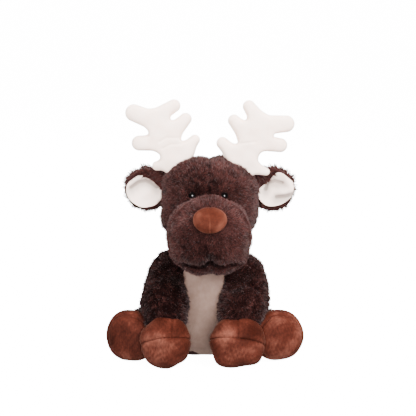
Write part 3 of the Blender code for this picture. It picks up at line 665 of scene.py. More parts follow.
def pile_material(name, dark, light, sheen, tint):
    """Pile fabric with random lighter and darker patches, painted darker at the roots as shade between the
    tufts and lighter at the tips as painted highlight.
    """
    material, nodes, links = new_material(name)
    shader = nodes["Principled BSDF"]
    place = object_place(nodes)
    patches = noise(nodes, links, place, 60.0, 3.0, 0.6)
    by_tone = ramp(nodes, links, read(nodes, "tone"), [(0.0, dark), (1.0, light)])
    by_patch = ramp(nodes, links, patches, [(0.30, grey(0.80)), (0.70, grey(1.20))])
    # painted shade at the roots and painted highlight at the tips
    by_tip = ramp(nodes, links, read(nodes, "tip"), [(0.0, grey(0.55)), (0.5, grey(0.90)), (1.0, grey(1.30))])
    colour = multiplied(nodes, links, multiplied(nodes, links, by_tone, by_patch), by_tip)
    links.new(colour, shader.inputs["Base Color"])
    finished(shader, 0.9, 0.04, sheen, tint)
    return material


def velboa_material(name, shade, colour, darkest=1.0, grain=0.3):
    """Smooth short fabric with soft mottling and a fine grain, darkened where its tone is low, which holds
    painted shade on the belly and the ear linings.
    """
    material, nodes, links = new_material(name)
    shader = nodes["Principled BSDF"]
    place = object_place(nodes)
    tone = ramp(nodes, links, noise(nodes, links, place, 90.0, 5.0, 0.65), [(0.35, shade), (0.65, colour)])
    if darkest < 1.0:
        by_tone = ramp(nodes, links, read(nodes, "tone"), [(0.0, grey(darkest)), (1.0, grey(1.0))])
        tone = multiplied(nodes, links, tone, by_tone)
    links.new(tone, shader.inputs["Base Color"])
    finished(shader, 0.9, 0.1, 0.1)
    bumped(nodes, links, shader, noise(nodes, links, place, 1500.0, 2.0), grain, 0.0004)
    return material


def minky_material(name, dark, middle, light):
    """Brushed minky: its tone holds patches where the nap turns light and dark and painted light and shade,
    with fine streaks.
    """
    material, nodes, links = new_material(name)
    shader = nodes["Principled BSDF"]
    place = object_place(nodes)
    tone = ramp(nodes, links, read(nodes, "tone"), [(0.12, dark), (0.5, middle), (0.88, light)])
    fine = noise(nodes, links, place, 420.0, 3.0, 0.6)
    grain = ramp(nodes, links, fine, [(0.3, grey(0.82)), (0.7, grey(1.18))])
    links.new(multiplied(nodes, links, tone, grain), shader.inputs["Base Color"])
    finished(shader, 0.7, 0.06, 0.04, (1.0, 0.50, 0.35), 0.35)
    bumped(nodes, links, shader, noise(nodes, links, place, 1300.0, 2.0), 0.5, 0.0006)
    return material


def plain_material(name, colour, roughness, specular=0.5, coat=0.0):
    material, nodes, links = new_material(name)
    shader = nodes["Principled BSDF"]
    soft = noise(nodes, links, object_place(nodes), 300.0)
    tone = ramp(nodes, links, soft, [(0.3, tuple(0.85 * part for part in colour)), (0.7, colour)])
    links.new(tone, shader.inputs["Base Color"])
    finished(shader, roughness, specular)
    shader.inputs["Coat Weight"].default_value = coat
    shader.inputs["Coat Roughness"].default_value = 0.05
    return material


PILE = pile_material(
    "brown_pile", (0.0036, 0.0007, 0.0006), (0.0465, 0.0162, 0.0141), 0.07, (1.0, 0.74, 0.72))
# the belly's tone darkens it towards the bottom, as painted shade
BELLY = velboa_material("cream_pile", (0.142, 0.089, 0.070), (0.172, 0.111, 0.089), 0.54, 0.6)
VELBOA = velboa_material("cream_velboa", (0.98, 0.72, 0.60), (1.0, 0.78, 0.67))
# the linings' tone darkens them in and below their folds, as painted shade
LINING = velboa_material("cream_lining", (0.98, 0.74, 0.63), (1.0, 0.80, 0.70), 0.25)
HOOF = minky_material(
    "rust_minky", (0.0170, 0.0031, 0.0015), (0.0370, 0.0079, 0.0044), (0.090, 0.0275, 0.0175))
NOSE = minky_material(
    "nose_minky", (0.0275, 0.0053, 0.0025), (0.0365, 0.0081, 0.0042), (0.087, 0.0260, 0.0155))
EYE = plain_material("black_gloss", (0.0015, 0.0012, 0.0012), 0.06, 0.5, 1.0)
THREAD = plain_material("dark_thread", (0.006, 0.0022, 0.0018), 0.9, 0.05)
FIBRE = plain_material("white_fibre", (0.85, 0.85, 0.83), 0.95)
WASHER = plain_material("pale_plastic", (0.75, 0.75, 0.73), 0.45)
POUCH = plain_material("pouch_cloth", (0.70, 0.68, 0.62), 0.9)


# Torso

def downwards(roots, ups):
    """Nap that runs down the body and a little to the back."""
    return np.tile([0.0, 0.15, -1.0], (len(roots), 1))


def torso_measures():
    low, high = box("torso_skin", "belly_panel")
    half_width = (high[0] - low[0]) / 2 / TORSO_WIDEST_SHARE
    half = np.array([half_width, TORSO_HALF_DEPTH, TORSO_UNCUT_HEIGHT / 2])
    centre = np.array([(high[0] + low[0]) / 2, 0.0, TORSO_UNCUT_HEIGHT * (0.5 - TORSO_SINK_SHARE)])
    return centre, half, high[2]


def torso_surface(directions):
    centre, half, top = torso_measures()
    points = directions * half
    points[:, :2] *= 1.0 - TORSO_TAPER_SHARE * directions[:, 2:]
    points[:, 1] -= TORSO_LEAN * (directions[:, 2] + 1) / 2
    points[:, 1] -= SEAT_SWELL * smooth(-directions[:, 2], 0.2, 0.8) * smooth(-directions[:, 1], 0.0, 0.5)
    points = points + centre
    points += (0.0008 * field(points, 5, 0.03) - torso_inset(points[:, 2]))[:, None] * directions
    points[:, 2] = clamped(points[:, 2], 0.0, top + 0.002)
    return points


def belly_measures():
    low, high = box("belly_panel")
    return (low + high) / 2, (high - low) / 2


def torso_inset(heights):
    """How far the cloth lies inside the pile's outline: little at the seat, which pellets press out."""
    return PILE_STAND * (0.2 + 0.8 * smooth(heights, 0.010, 0.040))


def belly_reach(points):
    """How far a point lies from the belly panel's middle: 1 on its edge, more outside it."""
    middle, half = belly_measures()
    shares = (points - middle) / half
    up = np.where(shares[:, 2] < 0, shares[:, 2] / BELLY_DROP, shares[:, 2])
    return np.where(points[:, 1] < -0.01, squarish(shares[:, 0], up), 9.0)


def squarish(across, up):
    """The panel's outline is where this is 1: an oval above and nearly square below."""
    upper, lower = BELLY_SQUARENESS
    power = upper + (lower - upper) * smooth(-up, 0.0, 0.5)
    return (np.abs(across) ** power + np.abs(up) ** power) ** (1 / power)


def build_torso():
    directions, faces = sphere(5)
    points = torso_surface(directions)

    def keep(roots, ups):
        size = smooth(belly_reach(roots), 0.97, 1.10)
        return size * smooth(roots[:, 2], 0.0005, 0.006) * smooth(-ups[:, 2], 1.02, 0.85)

    body = tufted("torso_pile", points, faces, PILE, BODY_PILE, downwards, keep, 11)
    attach(body, "torso")
    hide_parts("torso_skin", "torso_filling")
    build_belly()


def build_belly():
    """The cream panel: a crowned oval patch on the front of the torso."""
    middle, half = belly_measures()
    rings, spokes = 60, 128
    reach, angles = disc_places(rings, spokes)
    across, up = reach * np.cos(angles), reach * np.sin(angles)
    square = 1 / squarish(np.cos(angles), np.sin(angles))
    across, up = across * square, up * square
    up = np.where(up < 0, up * BELLY_DROP, up)
    place = np.stack([middle[0] + across * half[0], np.zeros(len(reach)), middle[2] + up * half[2]], 1)
    crown = BELLY_PROUD * (1 - 1.6 * reach ** 8) + 0.0006 * field(place, 21, 0.014)
    front = front_of_torso(place)
    front[:, 1] -= crown + 0.5 * PILE_STAND - torso_inset(front[:, 2])
    front[:, 2] = np.maximum(front[:, 2], 0.0012)
    points, faces = thickened(front, disc_faces(rings, spokes), BELLY_THICKNESS)
    points[:, 2] = np.maximum(points[:, 2], 0.0002)
    # painted shade: the belly patch is lighter at the top, where light falls, and darker towards the bottom
    tone = smooth(points[:, 2], middle[2] - 0.8 * half[2], middle[2] + 0.5 * half[2])
    mesh = new_mesh("belly_patch", points, outward(points, faces), tone=tone)
    panel = new_piece("belly_patch", mesh, BELLY)
    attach(panel, "torso")
    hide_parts("belly_panel")


def front_of_torso(places):
    """The torso's surface in front of points given by X and Z."""
    centre, half, _ = torso_measures()
    rise = clamped((places[:, 2] - centre[2]) / half[2], -0.999, 0.999)
    round_off = np.sqrt(1 - rise ** 2) * (1.0 - TORSO_TAPER_SHARE * rise)
    across = clamped(places[:, 0] / half[0] / np.maximum(round_off, 1e-6), -0.999, 0.999)
    front = places.copy()
    front[:, 1] = centre[1] - half[1] * round_off * np.sqrt(1 - across ** 2) - TORSO_LEAN * (rise + 1) / 2
    front[:, 1] -= SEAT_SWELL * smooth(-rise, 0.2, 0.8)
    return front


# Head

def head_measures():
    low, high = box("head_skin")
    half = (high - low) / 2
    half[2] = (high[2] - low[2]) / HEAD_SHOWN_SHARE / 2
    centre = (high + low) / 2
    centre[2] = high[2] - half[2]
    return centre, half, low[2]


def eye_facts(side):
    """The front of the CAD eye's dome and the way it looks."""
    cad = np.array([vertex.co[:] for vertex in frame["nodes"]["eye_" + side].data.vertices])
    axis = np.linalg.svd(cad - cad.mean(0), full_matrices=False)[2][0]
    axis = axis if axis[1] < 0 else -axis
    return cad[(cad @ axis).argmax()] + np.array(EYE_SHIFTS[side]), axis


def head_surface(directions):
    centre, half, foot = head_measures()
    stretch = 1 + (squared(directions, FULLNESS) - 1) * smooth(directions[:, 2], -0.1, 0.5)
    points = directions * half * stretch[:, None]
    off = points[:, 0]
    along_top = smooth(directions[:, 2], 0.15, 0.55)
    swell = CHEEK_SWELL * hump(np.abs(directions[:, 0]) - 0.85, 0.30) * hump(directions[:, 2] + 0.35, 0.30)
    for side, sign in SIDES.items():
        corner = unit(np.array([sign * 0.75, 0.0, 0.70]))
        swell += CORNER_SWELLS[side] * hump(1 - directions @ corner, 0.085)
    swell -= HEAD_SEAM_DEPTH * hump(off, HEAD_SEAM_WIDTH) * along_top
    top_swell = TOP_SWELL + TOP_SWELL_MORE_LEFT * (off < 0)
    swell += top_swell * hump(np.abs(off) - TOP_SWELL_OUT, TOP_SWELL_WIDTH) * along_top
    points = points + centre
    swell += 0.0010 * field(points, 31, 0.022) - PILE_STAND
    for side in SIDES:
        away = np.linalg.norm(points - eye_facts(side)[0], axis=1)
        swell -= EYE_SOCKET_DEPTH * hump(away, EYE_SOCKET_WIDTH)
    points += unit(directions / half) * swell[:, None]
    points[:, 0] -= JAW_SHIFT * smooth(-directions[:, 2], -0.1, 0.4)
    points[:, 2] = np.maximum(points[:, 2], foot + 0.0008)
    return points


def build_head():
    centre, half, foot = head_measures()
    directions, faces = sphere(5)
    points = head_surface(directions)
    eyes = [eye_facts(side)[0] for side in SIDES]

    def comb(roots, ups):
        away = roots - centre
        behind = smooth(away[:, 1], 0.0, 0.04)
        return np.stack([0.3 * away[:, 0] / half[0], 1.0 - 0.8 * behind, -0.25 - behind], 1)

    def keep(roots, ups):
        size = smooth(roots[:, 2], foot + 0.001, foot + 0.005)
        for place in eyes:
            away = np.linalg.norm(roots - place, axis=1)
            size *= (0.55 + 0.45 * smooth(away, 0.005, 0.009)) * smooth(away, 0.0047, 0.0060)
        return size

    # Painted light and shade on the head's pile: the listed spots, and painted shade along the groove of the
    # top seam
    def tone(places):
        up = places[:, 2] - centre[2]
        seam = hump(places[:, 0] - centre[0], 0.0022) * smooth(up, 0.020, 0.040)
        return spotlight(places, HEAD_LIGHT_AND_SHADE_SPOTS) - 0.3 * seam

    head = tufted("head_pile", points, faces, PILE, FACE_PILE, comb, keep, 31, tone)
    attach(head, "head")
    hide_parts("head_skin", "head_filling")


def build_eye(side):
    """A glossy dome in the place of the CAD eye."""
    front, axis = eye_facts(side)
    directions, faces = sphere(5)
    height = clamped(directions[:, 2], -0.6) * EYE_DOME
    across = unit(np.cross(axis, [0.0, 0.0, 1.0]))
    other = np.cross(axis, across)
    points = directions[:, :1] * EYE_RADIUS * across + directions[:, 1:2] * EYE_RADIUS * other
    points = points + height[:, None] * axis + front + (EYE_PROUD - EYE_DOME) * axis
    eye = new_piece("eye_dome_" + side, new_mesh("eye_dome_" + side, points, outward(points, faces)), EYE)
    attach(eye, "head")
    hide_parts("eye_" + side)


# Muzzle

def muzzle_measures():
    low, high = box("muzzle_skin")
    half = (high[0] - low[0]) / 2 * np.array([1.0, MUZZLE_DEPTH_SHARE, MUZZLE_HEIGHT_SHARE])
    centre = np.array([(low[0] + high[0]) / 2, low[1] + half[1], high[2] - half[2]])
    return centre, half, low[2]


def above_mouth(points):
    """Height above the mouth line, which peaks under the nose."""
    centre, _, mouth = muzzle_measures()
    line = mouth + MOUTH_RAISE + MOUTH_PEAK * hump(points[:, 0] - centre[0] - 0.001, MOUTH_PEAK_WIDTH)
    line -= 0.0014 * hump(np.abs(points[:, 0] - centre[0]) - 0.014, 0.008)
    return points[:, 2] - line


def off_rim(points):
    """How far a point lies outside the muzzle's rim seam, measured along the surface."""
    centre, half, _ = muzzle_measures()
    rise = math.radians(CAMERA_RISE_ANGLE)
    shares = unit(points - centre)
    polar = np.degrees(np.arccos(clamped(shares @ np.array([0.0, -math.cos(rise), math.sin(rise)]), -1.0)))
    diagonal = hump(np.degrees(np.arctan2(shares[:, 2], np.abs(shares[:, 0]))) - 45, 25)
    rim = RIM_ANGLES[0] + (RIM_ANGLES[1] - RIM_ANGLES[0]) * diagonal
    rim = rim + (RIM_ANGLES[2] - RIM_ANGLES[0]) * smooth(-shares[:, 2], -0.2, 0.4)
    return np.radians(polar - rim) * half[0]


def muzzle_surface(directions):
    centre, half, mouth = muzzle_measures()
    stretch = squared(directions, FULLNESS)
    stretch = 1 + (stretch - 1) * (0.25 + 0.75 * smooth(-directions[:, 2], -0.1, 0.6))
    points = directions * half * stretch[:, None] + centre
    points[:, 0] -= 0.0022 * smooth(directions[:, 0], 0.3, 0.9)
    away = off_rim(points)
    swell = RIM_RISE * hump(away, RIM_WIDTH) - 0.9 * RIM_RISE * hump(away - 2.2 * RIM_WIDTH, RIM_WIDTH)
    x = points[:, 0] - centre[0]
    front = smooth(-directions[:, 1], 0.15, 0.45)
    above = above_mouth(points)
    along = smooth(MOUTH_HALF_LENGTH - np.abs(x), -0.004, 0.004)
    swell -= MOUTH_DEPTH * hump(above, MOUTH_WIDTH) * along * front
    swell += LIP_SWELL * hump(above - LIP_ABOVE, LIP_WIDTH) * hump(np.abs(x) - LIP_OUT, LIP_LENGTH) * front
    across = smooth(CHIN_HALF_LENGTH - np.abs(x), -0.010, 0.010)
    swell += LIP_SWELL * hump(above + CHIN_BELOW, CHIN_WIDTH) * across
    groove = smooth(mouth + 0.022 - points[:, 2], 0.0, 0.012) * smooth(above, -0.001, 0.002)
    swell -= GROOVE_DEPTH * hump(x, GROOVE_WIDTH) * groove * front
    swell += 0.0010 * field(points, 41, 0.018) - PILE_STAND
    return points + unit(directions / half) * swell[:, None]


def build_muzzle():
    centre, _, mouth = muzzle_measures()
    directions, faces = sphere(6)
    points = muzzle_surface(directions)
    nose_low, nose_high = box("nose")
    nose = (nose_low + nose_high) / 2

    def comb(roots, ups):
        return roots - (nose + np.array([0.0, 0.0, 0.004])) + np.array([0.0, 0.01, -0.012])

    def crease(roots):
        along = smooth(MOUTH_HALF_LENGTH - np.abs(roots[:, 0] - centre[0]), -0.004, 0.004)
        return hump(above_mouth(roots), 0.0030) * along * smooth(centre[1] - 0.010 - roots[:, 1], 0.0, 0.01)

    def shorter(roots):
        return 1 - 0.20 * crease(roots) - 0.35 * hump(off_rim(roots), 0.0022)

    def keep_muzzle(roots, ups):
        gap = np.linalg.norm((roots - nose) / ((nose_high - nose_low) / 2), axis=1)
        size = smooth(gap, 0.88, 0.96) * (0.7 + 0.3 * smooth(gap, 0.95, 1.25))
        hidden = smooth(roots[:, 1], centre[1] + 0.034, centre[1] + 0.024)
        return size * hidden * shorter(roots) * (above_mouth(roots) > -0.0005)

    def keep_chin(roots, ups):
        return shorter(roots) * smooth(-dot(ups, unit(centre - roots)), 0.2, 0.5)

    # Painted light and shade on the muzzle's pile: a lighter line on the rim seam, partly its parted pile and
    # partly painted highlight, painted shade beyond the rim, in the mouth crease and in the groove under the
    # nose, and the listed spots
    def tone(places):
        away = off_rim(places)
        # the rim's parted pile with painted highlight on its ridge, and painted shade in the crease beyond it
        light = 0.30 * hump(away, 0.0014) - 0.25 * hump(away - 0.0042, 0.0022)
        light += spotlight(places, MUZZLE_LIGHT_AND_SHADE_SPOTS)
        # painted shade in the groove under the nose and in the mouth crease
        hollow_shade = hump(places[:, 0] - centre[0], 0.0055) * smooth(mouth + 0.022 - places[:, 2], 0.0, 0.012)
        return light - 0.45 * crease(places) - 0.35 * hollow_shade * (above_mouth(places) > 0)

    muzzle = tufted("muzzle_pile", points, faces, PILE, FACE_PILE, comb, keep_muzzle, 41, tone)
    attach(muzzle, "head")
    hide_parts("muzzle_skin", "muzzle_filling")
    below = (above_mouth(points)[faces] < 0).all(1) & (points[faces][:, :, 1].mean(1) < centre[1] + 0.036)
    chin_points, chin_faces = thickened(points + 0.0004 * directions, faces[below], CHIN_THICKNESS)
    chin = tufted("chin_pile", chin_points, chin_faces, PILE, FACE_PILE, comb, keep_chin, 45, tone)
    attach(chin, "head")
    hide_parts("chin_panel")
    build_nose()
    build_thread()


def build_thread():
    """The thread that pulls in the groove under the nose."""
    falls = np.radians(np.linspace(*THREAD_FALLS, 24))
    directions = np.stack([np.zeros(24), -np.cos(falls), -np.sin(falls)], 1)
    path = muzzle_surface(directions) + THREAD_PROUD * directions
    points, faces = tube(path, np.full(24, THREAD_RADIUS), 12)
    thread = new_piece("groove_thread", new_mesh("groove_thread", points, faces), THREAD)
    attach(thread, "head")
    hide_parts("philtrum_thread")


def nose_tone(directions, points):
    """A light seam in the lower half, painted shade at the middle of the top, a lighter edge and painted
    light on the right side.
    """
    seam = hump(directions[:, 0], 0.022) * smooth(-directions[:, 2], -0.15, 0.25)
    # painted shade at the middle of the top
    pinch = hump(directions[:, 0], 0.12) * smooth(directions[:, 2], 0.3, 0.9)
    edge = smooth(np.linalg.norm(directions[:, [0, 2]], axis=1), 0.86, 0.97)
    # painted light: the right side, towards the light, is lighter
    side = smooth(directions[:, 0], 0.3, 0.9)
    mottle = field(points, 47, 0.007)
    return clamped(0.48 + 0.45 * seam - 0.18 * pinch + 0.18 * edge + 0.10 * side + 0.10 * mottle)


def build_nose():
    """A satin pad with a middle seam, lighter in its lower half, and painted shade at the middle of its top.
    """
    low, high = box("nose")
    directions, faces = sphere(6)
    tilt = math.radians(NOSE_RISE_ANGLE)
    half = np.array(NOSE_HALF)
    seam = hump(directions[:, 0], 0.030) * smooth(-directions[:, 1], 0.0, 0.3)
    points = directions * half * (squared(directions, NOSE_FULLNESS) * (1 - 0.05 * seam))[:, None]
    points[:, 0] *= 1 - 0.08 * smooth(-directions[:, 2], 0.0, 1.0)
    turn = np.array([[1, 0, 0], [0, math.cos(tilt), -math.sin(tilt)], [0, math.sin(tilt), math.cos(tilt)]])
    reach_y = math.hypot(half[1] * math.cos(tilt), NOSE_CAD_HALF_HEIGHT * math.sin(tilt))
    reach_z = math.hypot(half[1] * math.sin(tilt), NOSE_CAD_HALF_HEIGHT * math.cos(tilt))
    centre = np.array([(low[0] + high[0]) / 2, low[1] + reach_y, high[2] - reach_z])
    centre += NOSE_PROUD * np.array([0.0, -math.cos(tilt), math.sin(tilt)])
    points = points @ turn + centre
    pad = new_piece("nose_pad", new_mesh("nose_pad", points, faces, tone=nose_tone(directions, points)), NOSE)
    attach(pad, "head")
    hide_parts("nose")


# Ears

def ear_frame(side):
    sign = SIDES[side]
    low, high = box("ear_back_" + side)
    root = PIVOTS["ear_fold_" + side]
    half = np.array([EAR_HALF_LENGTH, (high[1] - low[1]) / 2, (high[2] - low[2]) / 2])
    centre = root + np.array([sign * (half[0] - EAR_SINK), 0.0, 0.0])
    return sign, root, centre, half


def lining_reach(side, points):
    """How far a point lies from the lining's middle: 1 on its edge, more outside it."""
    sign, _, centre, half = ear_frame(side)
    out, up = LINING_SETS[side]
    across = -sign * (points[:, 0] - centre[0] - sign * out)
    height = points[:, 2] - centre[2] - up
    reach = closed_curve(LINING_REACH_SHARES[side], np.arctan2(height, across)) * half[0]
    return np.hypot(across, height) / reach


def ear_reach(inward, height):
    """The ear's outline is where this is 1: an oval, squarer above where it joins the head."""
    round_reach = np.hypot(inward, height)
    square_reach = (np.abs([inward, height]) ** EAR_SQUARENESS).sum(0) ** (1 / EAR_SQUARENESS)
    square = smooth(inward, -0.1, 0.4) * smooth(height, 0.0, 0.4)
    return round_reach + (square_reach - round_reach) * square


def ear_share(side, points):
    """How far a point lies from the ear's middle: 1 on its edge."""
    sign, _, centre, half = ear_frame(side)
    return ear_reach(-sign * (points[:, 0] - centre[0]) / half[0], (points[:, 2] - centre[2]) / half[2])


def ear_front(side, points, cup):
    """How far the ear's front stands forward of its middle plane: high at the rim, cupped inside."""
    reach = ear_share(side, points)
    return EAR_FRONT * np.sqrt(1 - clamped(reach, 0.0, 0.999) ** 8) - cup * smooth(0.92 - reach, 0.0, 0.45)


def build_ear(side):
    sign, _, centre, half = ear_frame(side)
    directions, faces = sphere(5)
    flat = np.hypot(directions[:, 0], directions[:, 2])
    square = flat / np.maximum(ear_reach(-sign * directions[:, 0], directions[:, 2]), 1e-9)
    square = np.where(flat > 1e-6, square, 1.0)
    points = directions * (half - np.array([0.0016, 0.0, 0.0016])) * square[:, None] + centre
    front = directions[:, 1] < 0
    roll = smooth(lining_reach(side, points), 0.92, 1.12) * smooth(directions[:, 2], -0.5, 0.6)
    roll = roll * smooth(1 - np.abs(directions[:, 1]), 0.0, 1.0)
    stand = ear_front(side, points, EAR_CUP) + EAR_ROLL * roll
    points[:, 1] = np.where(front, centre[1] - stand * smooth(-directions[:, 1], 0.0, 0.25), points[:, 1])

    def comb(roots, ups):
        away = roots - centre
        over = smooth(-ups[:, 1], 0.2, 0.8) * smooth(-sign * away[:, 0], -0.012, 0.012)
        outwards = np.stack([away[:, 0], np.zeros(len(roots)), away[:, 2] + 0.002], 1)
        inwards = np.tile([sign * 0.02, 0.0, -0.012], (len(roots), 1))
        return outwards * (1 - over)[:, None] + inwards * over[:, None]

    def keep(roots, ups):
        bare = (ups[:, 1] < -0.2) & (roots[:, 1] < centre[1])
        fringe = smooth(ear_share(side, roots), 0.86, 0.97)
        fringe = 1 + fringe * (0.05 + 0.45 * smooth(roots[:, 2] - centre[2], -0.016, 0.010))
        return np.where(bare, smooth(lining_reach(side, roots), 0.98, 1.04), 1.0) * fringe

    # Painted light: the ear's pile is made lighter, more so towards the top
    def tone(places):
        return 0.20 + 0.25 * smooth(places[:, 2] - centre[2], -0.020, 0.020)

    closed = outward(points, faces)
    back = tufted("ear_pile_" + side, points, closed, PILE, EAR_PILE, comb, keep, 51 + int(sign), tone)
    bend_ear(back)
    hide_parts("ear_back_" + side)
    build_lining(side)


def bend_ear(piece):
    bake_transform(piece)


def build_lining(side):
    sign, _, centre, half = ear_frame(side)
    rings, spokes = 40, 128
    share, angles = disc_places(rings, spokes)
    reach = share * closed_curve(LINING_REACH_SHARES[side], angles) * half[0]
    across, up = -reach * np.cos(angles), reach * np.sin(angles)
    out_set, up_set = LINING_SETS[side]
    x = centre[0] + sign * (across + out_set)
    z = centre[2] + up_set + up
    points = np.stack([x, np.zeros(len(x)), z], 1)
    fold = creased(np.stack([across, up], 1), LINING_FOLDS[side], LINING_FOLD_WIDTH)
    shadow = creased(np.stack([across, up + LINING_SHADOW_DROP], 1), LINING_FOLDS[side], LINING_SHADOW_WIDTH)
    stand = ear_front(side, points, LINING_CUP) + 0.0010 - 0.0016 * share ** 10
    ripple = 0.0005 * field(points, 61 + int(sign), 0.008) * (1 - share ** 4)
    stand = stand + ripple - LINING_FOLD_DEPTH * fold
    # painted shade: darker in the fold creases and in the shadow that falls below the folds
    tone = 1 - 0.75 * fold - 0.65 * shadow
    stand = np.maximum(stand, ear_front(side, points, EAR_CUP) + 0.0006)
    points[:, 1] = centre[1] - stand
    points, faces = thickened(points, disc_faces(rings, spokes), -sign * LINING_THICKNESS)
    name = "ear_velboa_" + side
    tone = clamped(np.concatenate([tone, tone]))
    lining = new_piece(name, new_mesh(name, points, outward(points, faces), tone=tone), LINING)
    bend_ear(lining)
    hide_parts("ear_lining_" + side)


# Antlers

def antler_distance(side, places):
    """Distance outside the antler's outline: its limbs, joined smoothly. Inside it is negative."""
    total = None
    for (x0, z0, r0), (x1, z1, r1) in ANTLER_LIMBS[side]:
        start, step = np.array([x0, z0]), np.array([x1 - x0, z1 - z0])
        share = clamped(((places - start) @ step) / (step @ step))
        away = np.linalg.norm(places - start - share[:, None] * step, axis=1)
        away -= r0 + share * (r1 - r0) + ANTLER_SWELL
        if total is None:
            total = away
        else:
            blend = clamped(0.5 + 0.5 * (total - away) / ANTLER_JOIN)
            total = total + (away - total) * blend - ANTLER_JOIN * blend * (1 - blend)
    return total


def to_outline(side, places, steps=4):
    """Moves places onto the antler's outline."""
    tiny = 0.0001
    for _ in range(steps):
        here = antler_distance(side, places)
        slope_x = (antler_distance(side, places + np.array([tiny, 0.0])) - here) / tiny
        slope_z = (antler_distance(side, places + np.array([0.0, tiny])) - here) / tiny
        slope = np.stack([slope_x, slope_z], 1)
        places = places - here[:, None] * slope / np.maximum(dot(slope, slope), 0.2)[:, None]
    return places


def pillow(side):
    """The stuffed antler: flat places, half thickness, one face's triangles and which points are its edge."""
    cell = ANTLER_CELL
    ends = np.array([end for limb_ends in ANTLER_LIMBS[side] for end in limb_ends])
    low = (ends[:, :2] - ends[:, 2:]).min(0) - ANTLER_SWELL - 3 * cell
    high = (ends[:, :2] + ends[:, 2:]).max(0) + ANTLER_SWELL + 3 * cell
    columns, rows = ((high - low) / cell).astype(int) + 1
    steps = np.meshgrid(low[0] + cell * np.arange(columns), low[1] + cell * np.arange(rows), indexing="ij")
    flat = np.stack(steps, 2).reshape(-1, 2)
    held = (antler_distance(side, flat) < 0.45 * cell).reshape(columns, rows)
    full = held[:-1, :-1] & held[1:, :-1] & held[1:, 1:] & held[:-1, 1:]
    around = np.zeros((columns, rows), int)
    for dx in (0, 1):
        for dy in (0, 1):
            around[dx:columns - 1 + dx, dy:rows - 1 + dy] += full
    used, core = around > 0, around == 4
    height = np.zeros((columns, rows))
    for _ in range(1500):
        total = np.zeros_like(height)
        total[1:-1, 1:-1] = height[:-2, 1:-1] + height[2:, 1:-1] + height[1:-1, :-2] + height[1:-1, 2:]
        height = np.where(core, (total + 2 * cell ** 2) / 4, 0.0)
    height = ANTLER_FULLNESS * np.tanh(np.sqrt(height) / ANTLER_FULLNESS)
    chosen, edge = used.reshape(-1), ~core.reshape(-1)
    places = flat.copy()
    places[chosen & edge] = to_outline(side, flat[chosen & edge])
    index = np.cumsum(chosen).reshape(columns, rows) - 1
    a, b, c, d = index[:-1, :-1][full], index[1:, :-1][full], index[1:, 1:][full], index[:-1, 1:][full]
    faces = np.concatenate([np.stack([a, b, c], 1), np.stack([a, c, d], 1)])
    return places[chosen], height.reshape(-1)[chosen], faces, edge[chosen]


def evened(values, faces, held, passes):
    """Evens values out over neighbouring points, and leaves the held ones at zero."""
    pairs = np.concatenate([faces[:, [0, 1]], faces[:, [1, 2]], faces[:, [2, 0]]])
    number = np.zeros(len(values))
    np.add.at(number, pairs, 1)
    for _ in range(passes):
        total = np.zeros(len(values))
        np.add.at(total, pairs[:, 0], values[pairs[:, 1]])
        np.add.at(total, pairs[:, 1], values[pairs[:, 0]])
        values = np.where(held, 0.0, 0.5 * values + 0.5 * total / np.maximum(number, 1))
    return values


def build_antler(side):
    """Front and back panels, sewn together along the outline."""
    sign = SIDES[side]
    base = PIVOTS["antler_bend_" + side]
    places, height, faces, edge = pillow(side)
    height = evened(height, faces, edge, 3)
    across, up = base[0] + sign * places[:, 0], base[2] + places[:, 1]
    spread = np.stack([across, np.full(len(places), base[1]), up], 1)
    ripple = ANTLER_RIPPLE * field(spread, 71, ANTLER_RIPPLE_SIZE) * smooth(height, 0.001, 0.006)
    crease = ANTLER_CREASE_DEPTH * creased(places, ANTLER_CREASES[side], ANTLER_CREASE_WIDTH)
    flare = 0.7 + 0.3 * smooth(places[:, 1], -0.004, 0.014)
    for word, way, extra in (("front", -1.0, ripple - crease), ("back", 1.0, -ripple)):
        panel = spread.copy()
        panel[:, 1] += way * (np.maximum(height + extra, 0.0) * flare + 0.00005)
        normals = normals_of(panel, faces)
        turned = faces if dot(normals.mean(0), np.array([0.0, way, 0.0])) > 0 else faces[:, ::-1]
        points, closed = thickened(panel, turned, 0.0)
        points[len(panel):, 1] = base[1] + way * (np.maximum(height - 0.0012, 0.0) * flare + 0.00003)
        name = "antler_" + word + "_velboa_" + side
        piece = new_piece(name, new_mesh(name, points, closed), VELBOA)
        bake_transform(piece)
        if word == "front":
            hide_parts("antler_front_" + side, "antler_filling_" + side)
        else:
            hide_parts("antler_back_" + side)


# Limbs

def bent_path(start, bend, end, count):
    share = np.linspace(0, 1, count)[:, None]
    return (1 - share) ** 2 * start + 2 * share * (1 - share) * bend + share ** 2 * end


def spread_evenly(shares, count):
    """A smooth run of values through evenly spaced ones."""
    values = np.interp(np.linspace(0, len(shares) - 1, count), np.arange(len(shares)), shares)
    for _ in range(10):
        values[1:-1] = 0.25 * values[:-2] + 0.5 * values[1:-1] + 0.25 * values[2:]
    return values


